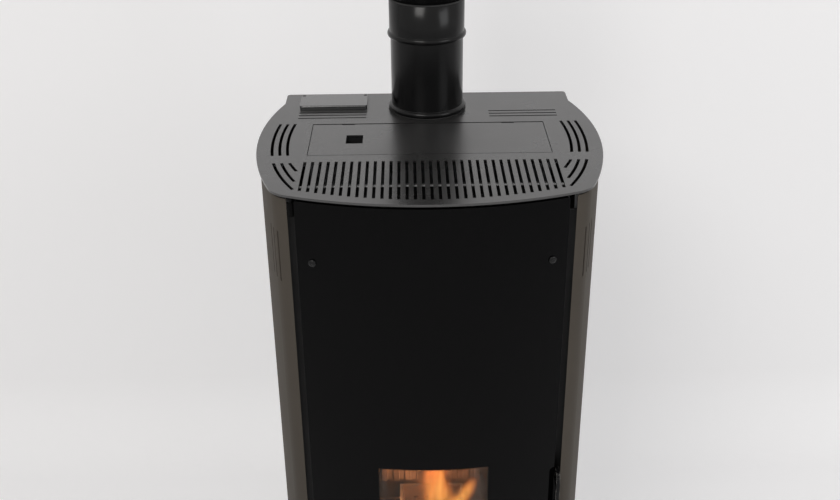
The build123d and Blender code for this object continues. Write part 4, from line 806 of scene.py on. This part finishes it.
@dataclass
class SmokePath(Assembly):
    """Smoke box, fans and the flue."""

    flue_y: float = 0.1205
    pipe_radius: float = 0.05075
    bore_radius: float = 0.04955
    socket_radius: float = 0.0523
    mouth_radius: float = 0.0511
    crest_radius: float = 0.05495
    bead_height: float = 0.0075
    bead_steps: int = 10
    bead_power: float = 0.8      # below 1 the bead is fuller than a half sine
    crease: float = 0.0006       # a fine step that keeps the shading crisp beside a bead
    chamfer: float = 0.0004
    ledge: float = 0.001         # the slope of the socket's inner step
    lead: float = 0.01           # the bore's end, for even shading
    lower_pipe: tuple[float, float, float] = (0.9155, 1.05625, 1.10875)
    upper_pipe: tuple[float, float, float] = (1.07375, 1.30125, 1.35375)
    plate_bead: float = 0.9515
    flue_sides: int = 96

    finishes: ClassVar[dict[str, Surface]] = {
        # The smoke box wears the firebox finish so that its shaded opening shows painted firelight.
        "smoke_box": FIREBOX_PAINT_AND_FIRELIGHT, "smoke_fan_housing": CASTING, "smoke_fan_impeller": BARE_STEEL,
        "smoke_fan_motor": MOTOR, "flue_riser": BLACK_PAINT, "flue_collar": ENAMEL, "flue_seals": RUBBER,
        "flue_pipe_lower": ENAMEL, "flue_pipe_upper": ENAMEL, "room_fan_housing": GALVANISED,
        "room_fan_rotor": CASTING, "room_fan_motor": MOTOR, "air_intake_tube": ZINC,
    }

    def build(self) -> None:
        """Turn both pipes with their rolled beads."""
        self.build_pipe("flue_tube_lower", "flue_pipe_lower", self.lower_pipe, (self.plate_bead,))
        self.build_pipe("flue_tube_upper", "flue_pipe_upper", self.upper_pipe, ())

    def bead(self, low: float, foot: float) -> list[tuple[float, float]]:
        """Return the outline of one rolled bead.

        Args:
            low: the height where it starts on the pipe.
            foot: the radius where it ends.

        Returns:
            Radius and height pairs, upwards.
        """
        points = []
        for k in range(self.bead_steps + 1):
            a = math.pi * k / self.bead_steps
            base = self.pipe_radius + (foot - self.pipe_radius) * k / self.bead_steps
            swell = (self.crest_radius - base) * math.sin(a) ** self.bead_power
            points.append((base + swell, low + self.bead_height * (0.5 - 0.5 * math.cos(a))))
        return points

    def build_pipe(self, name: str, node: str, heights: tuple[float, float, float], beads: tuple[float, ...]) -> None:
        """Turn one pipe with a plain bore, its beads and the socket above the top one.

        Args:
            name: the piece's name.
            node: the CAD node that it stands for.
            heights: its lower end, its top bead and its rim.
            beads: where further beads start.
        """
        low, top_bead, rim = heights
        step = top_bead + self.bead_height
        bore, pipe, mouth, socket = self.bore_radius, self.pipe_radius, self.mouth_radius, self.socket_radius
        cut, crease, edge = self.chamfer, self.crease, (socket - mouth) / 2
        outline = [(bore, low + cut), (bore + edge, low), (pipe, low + cut)]
        for start in beads:
            outline += [(pipe, start - crease), *self.bead(start, pipe), (pipe, start + self.bead_height + crease)]
        outline += [(pipe, top_bead - crease), *self.bead(top_bead, socket), (socket, step + crease)]
        outline += [(socket, rim - cut), (mouth + edge, rim), (mouth, rim - cut)]
        outline += [(mouth, step + self.ledge), (bore, step), (bore, low + self.lead)]
        shape = Shape()
        shape.turned(outline, Matrix.Translation((0, self.flue_y, 0)), self.flue_sides, ring=True)
        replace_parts(shape.piece(name, ENAMEL, "stove_body", "flue_enamel"), node)


class Tongue(NamedTuple):
    """A tongue of flame: its foot, height, greatest width, turn in degrees, tip's shift and middle's density."""

    x: float
    y: float
    height: float
    width: float
    facing: float
    lean: float
    density: float


@dataclass
class FireChamber(Assembly):
    """Firebox, burn pot and the fire itself."""

    tongues: tuple[Tongue, ...] = tuple(Tongue(*row) for row in (
        (0.008, -0.088, 0.13, 0.075, 10, 0.0, 0.4), (0.008, -0.082, 0.155, 0.034, -14, 0.0, 0.8),
        (0.014, -0.092, 0.15, 0.028, 20, 0.002, 0.8), (0.0, -0.08, 0.12, 0.03, -12, -0.002, 0.5),
        (0.02, -0.086, 0.065, 0.05, 22, 0.012, 0.7), (0.027, -0.09, 0.068, 0.044, 4, 0.05, 0.9),
        (0.008, -0.098, 0.12, 0.05, 38, 0.0, 0.4), (0.01, -0.076, 0.14, 0.045, -42, 0.0, 0.5),
        (0.026, -0.082, 0.062, 0.044, -24, 0.046, 0.7),
    ))
    pot_middle: Point = (0.0, -0.085, 0.37)
    bed_half: tuple[float, float] = (0.036, 0.026)
    bed_fill: float = 0.9            # how much of the pot the pellets cover
    bed_rise: float = 0.016
    pellet_radius: float = 0.003
    pellet_lengths: tuple[float, float] = (0.006, 0.014)
    pellet_tilts: tuple[float, float] = (1.1, 1.9)
    pellet_count: int = 150
    pellet_sides: int = 8
    pellet_end: float = 0.85         # a worn end's radius and
    pellet_wear: float = 0.3         # its height, as shares of the pellet's radius
    bed_unevenness: float = 0.003
    flame_foot: float = 0.376
    flame_rows: int = 24
    flame_columns: int = 14
    flame_sway: float = 0.012
    flame_bow: float = 0.006
    thinnest: float = 0.0005
    sway_waves: float = 3.2
    bow_waves: float = 5.0
    tongue_outline: tuple[float, float, float] = (0.62, 0.9, 1.3)    # width at the foot, growth and loss upwards
    tongue_taper: tuple[float, float] = (1.2, 0.3)
    hollow: float = 0.25             # how far a tongue curves across, against half its width
    lean_power: float = 1.3
    edge_power: float = 2.2
    top_power: int = 3
    foot_density: float = 0.35
    foot_gain: float = 4.0
    seed: int = 7

    finishes: ClassVar[dict[str, Surface]] = {
        "firebox": FIREBOX_PAINT_AND_FIRELIGHT, "firebox_liner": BOARD, "baffle_plate": BOARD, "burn_pot": POT_IRON,
        "burn_pot_cradle": FIREBOX_PAINT_AND_FIRELIGHT, "igniter": BARE_STEEL, "heat_exchanger": BLACK_PAINT,
    }

    def build(self) -> None:
        """Add the burning pellets and the flames."""
        self.build_embers()
        self.build_flames()

    def build_embers(self) -> None:
        """Heap glowing pellets in the pot."""
        rng = random.Random(self.seed)
        shape = Shape()
        for _ in range(self.pellet_count):
            spread = math.sqrt(rng.random())
            turn = rng.uniform(0, 2 * math.pi)
            x = self.pot_middle[0] + self.bed_half[0] * spread * math.cos(turn) * self.bed_fill
            y = self.pot_middle[1] + self.bed_half[1] * spread * math.sin(turn) * self.bed_fill
            z = self.pot_middle[2] + self.bed_rise * (1 - spread)
            z += rng.uniform(-self.bed_unevenness, self.bed_unevenness)
            length = rng.uniform(*self.pellet_lengths)
            lean = Matrix.Rotation(rng.uniform(0, math.pi), 4, "Z")
            lean @= Matrix.Rotation(rng.uniform(*self.pellet_tilts), 4, "X")
            place = Matrix.Translation((x, y, z)) @ lean @ Matrix.Translation((0, 0, -length / 2))
            r = self.pellet_radius
            worn, cut = r * self.pellet_end, r * self.pellet_wear
            profile = [(0, 0), (worn, 0), (r, cut), (r, length - cut), (worn, length), (0, length)]
            shape.turned(profile, place, self.pellet_sides)
        shape.piece("ember_bed", EMBER, "pot", "pot_iron")

    def build_flames(self) -> None:
        """Raise thin curved tongues from the pot, each fading towards its edges."""
        rng = random.Random(self.seed + 1)
        shape = Shape()
        body = shape.mesh.verts.layers.float.new("body")
        for tongue in self.tongues:
            self.add_tongue(shape, body, rng, tongue)
        shape.piece("flames", FLAME, "pot", "pot_iron")

    def add_tongue(self, shape: Shape, body: bmesh.types.BMLayerItem, rng: random.Random, tongue: Tongue) -> None:
        """Add one tongue of flame.

        Args:
            shape: what takes it.
            body: the vertex layer that holds how dense the flame is.
            rng: the source of its sway.
            tongue: its measures.
        """
        sway = [rng.uniform(-1, 1) for _ in range(4)]
        cosine, sine = math.cos(math.radians(tongue.facing)), math.sin(math.radians(tongue.facing))
        (foot, growth, loss), (start, narrowing) = self.tongue_outline, self.tongue_taper
        rows = []
        for i in range(self.flame_rows + 1):
            t = i / self.flame_rows
            shift = self.flame_sway * t * (sway[0] * math.sin(self.sway_waves * t + sway[1]) + sway[2] * t)
            bow = self.flame_bow * math.sin(self.bow_waves * t + 2 * sway[3])
            half = tongue.width / 2 * (foot + growth * t - loss * t * t) * (start - narrowing * t)
            half = max(half, self.thinnest)
            row = []
            for j in range(self.flame_columns + 1):
                s = 2 * j / self.flame_columns - 1
                across = s * half + shift
                deep = bow + self.hollow * half * (1 - s * s)
                x = tongue.x + across * cosine - deep * sine + tongue.lean * t ** self.lean_power
                y = tongue.y + across * sine + deep * cosine
                vertex = shape.dot(x, y, self.flame_foot + tongue.height * t)
                thickness = (1 - s * s) ** self.edge_power * (1 - t ** self.top_power)
                thickness *= min(1.0, self.foot_density + self.foot_gain * t)
                vertex[body] = tongue.density * max(0.0, thickness)
                row.append(vertex)
            rows.append(row)
        shape.skin(rows)


@dataclass
class Door(Assembly):
    """Glass door with its frame, pane, rope seal, screws, hinges and handle."""

    screw_x: float = 0.148
    screw_heights: tuple[float, float] = (0.86, 0.375)
    screw_radius: float = 0.005
    shank_radius: float = 0.002
    recess_radius: float = 0.0012
    screw_sides: int = 28
    glass_radius: float = 0.495
    arc_middle_y: float = 0.291
    seal_half: tuple[float, float] = (0.0975, 0.1235)
    seal_middle: Point = (0.0, -0.1587, 0.451)
    seal_bend: float = 0.012
    bend_steps: int = 6
    seal_radius: float = 0.0049
    seal_step: float = 0.0022
    seal_sides: int = 12
    strands: int = 3
    strand_depth: float = 0.1
    strand_twist: float = 520.0      # radians per metre

    finishes: ClassVar[dict[str, Surface]] = {
        "door_frame": FRAME_BLACK, "front_glass": WindowGlass(), "fire_glass": PaneGlass(),
        "door_hinge_brackets": HINGE_BLACK_AND_SHADE, "door_hinge_pins": HINGE_BLACK_AND_SHADE, "door_handle": HANDLE,
    }

    def build(self) -> None:
        """Add the rope seal and the domed screws."""
        self.build_seal()
        self.build_screws()

    def seal_path(self) -> list[Vector]:
        """Return the closed line of the rope.

        Returns:
            Points a short step apart.
        """
        bend, bends = self.seal_bend, []
        for corner, (sx, sz) in enumerate(((1, 1), (-1, 1), (-1, -1), (1, -1))):
            for k in range(self.bend_steps + 1):
                a = math.radians(90 * corner + 90 / self.bend_steps * k)
                x = sx * (self.seal_half[0] - bend) + bend * math.cos(a)
                z = sz * (self.seal_half[1] - bend) + bend * math.sin(a)
                bends.append(Vector(self.seal_middle) + Vector((x, 0, z)))
        path: list[Vector] = []
        for a, b in zip(bends, bends[1:] + bends[:1]):
            steps = max(1, round((b - a).length / self.seal_step))
            path.extend(a.lerp(b, k / steps) for k in range(steps))
        return path

    def build_seal(self) -> None:
        """Lay a three-strand rope round the pane."""
        shape = Shape()
        path = self.seal_path()
        rings, travelled = [], 0.0
        for i, point in enumerate(path):
            side = (path[(i + 1) % len(path)] - path[i - 1]).normalized().cross(Vector((0, 1, 0))).normalized()
            travelled += (point - path[i - 1]).length if i else 0.0
            ring = []
            for a in turns(self.seal_sides):
                wave = math.cos(self.strands * a - travelled * self.strand_twist)
                r = self.seal_radius * (1 - self.strand_depth + self.strand_depth * wave)
                ring.append(shape.dot(*(point + side * (r * math.cos(a)) + Vector((0, r * math.sin(a), 0)))))
            rings.append(ring)
        shape.skin(rings, closed=True)
        piece = shape.piece("door_rope", ROPE, "door", "rope_seal")
        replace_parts(piece, "door_seal")

    def build_screws(self) -> None:
        """Set a domed head and its shank at each corner of the glass."""
        shape = Shape()
        r, shank, recess = self.screw_radius, self.shank_radius, self.recess_radius
        dome = [(0, -0.011), (shank, -0.011), (shank, 0.0004), (r * 0.96, 0.0004), (r, 0.0008), (r, 0.0014)]
        dome += [(r * math.cos(a), 0.0014 + 0.0016 * math.sin(a)) for a in (0.4, 0.8, 1.15)]
        dome += [(recess, 0.003), (recess, 0.0022), (0, 0.0022)]
        for x in (-self.screw_x, self.screw_x):
            y = self.arc_middle_y - math.sqrt(self.glass_radius**2 - x * x)
            out = Vector((x, y - self.arc_middle_y, 0)).normalized()
            for z in self.screw_heights:
                place = Matrix.Translation((x, y, z)) @ out.to_track_quat("Z", "Y").to_matrix().to_4x4()
                shape.turned(dome, place, self.screw_sides)
        piece = shape.piece("glass_screw_heads", SCREW_BLACK, "door", "screw_black")
        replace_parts(piece, "glass_screws")


@dataclass
class AshBox(Assembly):
    """Ash drawer and its runners, with a thin layer of ash."""

    half_x: float = 0.1175
    end_gap: float = 0.005
    foot: float = 0.0016             # the ash's foot and its thinnest layer,
    layer: float = 0.0017            # above the drawer's underside
    heap: float = 0.016
    side_fall: float = 0.75          # how much lower the heap is at its sides
    end_fall: float = 0.8            # and at its ends
    roughness: float = 0.0012
    columns: int = 26
    rows: int = 16
    seed: int = 3

    finishes: ClassVar[dict[str, Surface]] = {
        "ash_drawer": BLACK_PAINT, "ash_drawer_front": PANEL_PAINT_AND_REFLECTION, "drawer_runners": ZINC,
    }

    def build(self) -> None:
        """Heap ash on the drawer's floor."""
        low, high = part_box("ash_drawer")
        rng = random.Random(self.seed)
        shape = Shape()
        grid = []
        for i in range(self.rows + 1):
            v = 2 * i / self.rows - 1
            y = (low.y + self.end_gap) + (high.y - low.y - 2 * self.end_gap) * i / self.rows
            row = []
            for j in range(self.columns + 1):
                u = 2 * j / self.columns - 1
                rise = self.heap * max(0.0, 1 - self.side_fall * u * u) * max(0.0, 1 - self.end_fall * v * v)
                z = low.z + self.layer + rise + rng.uniform(0, self.roughness)
                row.append(shape.dot(self.half_x * u, y, z))
            grid.append(row)
        shape.skin(grid)
        rim = [e for e in shape.mesh.edges if e.is_boundary]
        for item in bmesh.ops.extrude_edge_only(shape.mesh, edges=rim)["geom"]:
            if isinstance(item, bmesh.types.BMVert):
                item.co.z = low.z + self.foot
        shape.piece("ash_heap", ASH, "drawer", "pot_iron")


@dataclass
class Controls(Assembly):
    """Control panel under its flap, switch, inlet and the board's case."""

    panel_top: float = 0.9492
    border: float = 0.0115
    pane_size: Point = (0.036, 0.022, 0.0006)
    pane_edge: float = 0.0002
    key_start: tuple[float, float] = (0.046, 0.005)      # from the pane's corner
    key_radius: float = 0.0042
    key_gap: float = 0.0125
    key_sides: int = 20

    finishes: ClassVar[dict[str, Surface]] = {
        "control_panel": PLASTIC, "control_flap": FLAP, "power_inlet": PLASTIC, "power_switch": SWITCH,
        "control_board": CASE,
    }

    def build(self) -> None:
        """Add the display pane and six plain keys."""
        low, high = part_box("control_flap")
        shape = Shape()
        corner = Vector((low.x + self.border, low.y + self.border, self.panel_top))
        shape.block(corner, corner + Vector(self.pane_size), self.pane_edge)
        shape.piece("display_pane", DISPLAY, "stove_body", "black_plastic", smooth=False)
        shape = Shape()
        r = self.key_radius
        key = [(0, 0), (r, 0), (r, 0.0006), (r * 0.9, 0.0009), (r * 0.5, 0.0008), (0, 0.00075)]
        for column in range(3):
            for row in range(2):
                x, y = (start + step * self.key_gap for start, step in zip(self.key_start, (column, row)))
                shape.turned(key, Matrix.Translation(corner + Vector((x, y, 0))), self.key_sides)
        shape.piece("panel_keys", KEY, "stove_body", "board_case")


# ---- studio ----
def seen_share(g: Graph) -> Socket:
    """Return 1 for rays that show the ground itself or its reflection, and 0 for those that light the object.

    Args:
        g: the graph of the stage's material or of the world.

    Returns:
        The share.
    """
    path = g.add("LightPath").outputs
    direct = g.math("MAXIMUM", path["Is Camera Ray"], path["Is Transmission Ray"])
    return g.math("MAXIMUM", direct, path["Is Glossy Ray"])


@dataclass(frozen=True)
class Backdrop(Surface):
    """Pale matt paper of floor and wall, which is clear when seen from behind."""

    name: str = "backdrop_paper"
    pale: Colour = (0.76, 0.755, 0.76)
    lift: float = 0.42

    def inputs(self, g: Graph) -> dict[str, object]:
        """Lift the paper's brightness where it is seen.

        Args:
            g: the material's graph.

        Returns:
            The shader's inputs by name.
        """
        return {
            "Base Color": self.pale, "Roughness": 0.95, "Specular IOR Level": 0.1, "Emission Color": self.pale,
            "Emission Strength": g.math("MULTIPLY", seen_share(g), self.lift),
            "Alpha": g.math("SUBTRACT", 1.0, g.add("NewGeometry").outputs["Backfacing"]),
        }


class Lamp(NamedTuple):
    """A soft lamp: its place, its size in metres, its power in watts and its colour; a square one has a target."""

    name: str
    place: Point
    target: Point | None
    size: float
    power: float
    colour: Colour

    def hang(self) -> None:
        """Hang the lamp in the scene."""
        data = bpy.data.lights.new(self.name, "AREA" if self.target else "POINT")
        data.energy, data.color = self.power, self.colour
        place = Matrix.Translation(self.place)
        if self.target:
            data.size = self.size
            place @= (Vector(self.target) - Vector(self.place)).to_track_quat("-Z", "Y").to_matrix().to_4x4()
        else:
            data.shadow_soft_size = self.size
        new_object(self.name, data, place)


@dataclass
class Studio:
    """Camera, lamps, floor and backdrop."""

    lens: float = 46.78
    sensor: float = 36.0
    place: Point = (-0.02675, -1.36487, 1.49785)
    pitch: float = 27.719
    yaw: float = 0.5566
    roll: float = 0.5524
    floor_z: float = -0.0002
    reach: float = 14.0              # how far the floor goes to all sides
    wall_y: float = 0.62
    wall_top: float = 4.4998
    wall_bend: float = 0.15
    bend_steps: int = 8
    world_colour: Colour = (1.0, 0.99, 0.975)
    world_level: float = 0.42
    ground_level: float = 0.8
    lamps: tuple[Lamp, ...] = (
        Lamp("key_softbox", (-0.9, -1.9, 2.7), (0.0, 0.0, 0.9), 1.1, 26.0, (1.0, 0.98, 0.95)),
        Lamp("fill_softbox", (1.7, -1.2, 1.7), (0.0, 0.0, 0.6), 1.0, 9.0, (0.97, 0.98, 1.0)),
        Lamp("fire_light", (0.0, -0.09, 0.45), None, 0.03, 1.5, (1.0, 0.5, 0.22)),
    )

    def build(self) -> None:
        """Set up the camera, the stage and the light."""
        self.build_camera()
        self.build_stage()
        self.build_world()
        for lamp in self.lamps:
            lamp.hang()

    def build_camera(self) -> None:
        """Place the camera at the photograph's viewing angle."""
        pitch, yaw, roll = (math.radians(a) for a in (self.pitch, self.yaw, self.roll))
        level = Vector((math.sin(yaw), math.cos(yaw), 0))
        right = Vector((math.cos(yaw), -math.sin(yaw), 0))
        up = Vector((0, 0, 1))
        ahead = level * math.cos(pitch) - up * math.sin(pitch)
        down = -(up * math.cos(pitch) + level * math.sin(pitch))
        across = right * math.cos(roll) + down * math.sin(roll)
        below = -right * math.sin(roll) + down * math.cos(roll)
        turn = Matrix((across, -below, -ahead)).transposed().to_4x4()
        data = bpy.data.cameras.new("camera")
        data.lens, data.sensor_width = self.lens, self.sensor
        bpy.context.scene.camera = new_object("camera", data, Matrix.Translation(self.place) @ turn)

    def build_stage(self) -> None:
        """Sweep a pale sheet from the floor up the wall, with more floor behind for views from the back."""
        bend, foot = self.wall_bend, self.floor_z
        line = [(-self.reach, foot)]
        for k in range(self.bend_steps + 1):
            a = math.radians(90 * k / self.bend_steps)
            line.append((self.wall_y - bend + bend * math.sin(a), foot + bend - bend * math.cos(a)))
        line += [(self.wall_y, self.wall_top), (self.reach, foot)]
        shape = Shape()
        rows = [[shape.dot(x, y, z) for x in (-self.reach, self.reach)] for y, z in line]
        shape.skin(rows[:-1])
        shape.skin([rows[1], rows[-1]])
        backdrop = shape.finished("backdrop", Backdrop())

    def build_world(self) -> None:
        """Light everything softly, and show a pale ground to camera and reflections."""
        world = bpy.data.worlds.new("soft_world")
        bpy.context.scene.world = world
        world.use_nodes = True
        g = Graph(world.node_tree)
        strength = g.lerp(seen_share(g), self.world_level, self.ground_level)
        g.feed(world.node_tree.nodes["Background"], {"Color": self.world_colour, "Strength": strength})


def main() -> None:
    """Build the whole visual model and its studio."""
    logging.basicConfig(level=logging.INFO, format="%(name)s: %(message)s")
    bpy.context.scene.view_settings.view_transform = "Standard"
    for assembly in (Casing(), Feed(), SmokePath(), FireChamber(), Door(), AshBox(), Controls()):
        assembly.dress()
        assembly.build()
    Studio().build()


if __name__ == "__main__":
    main()
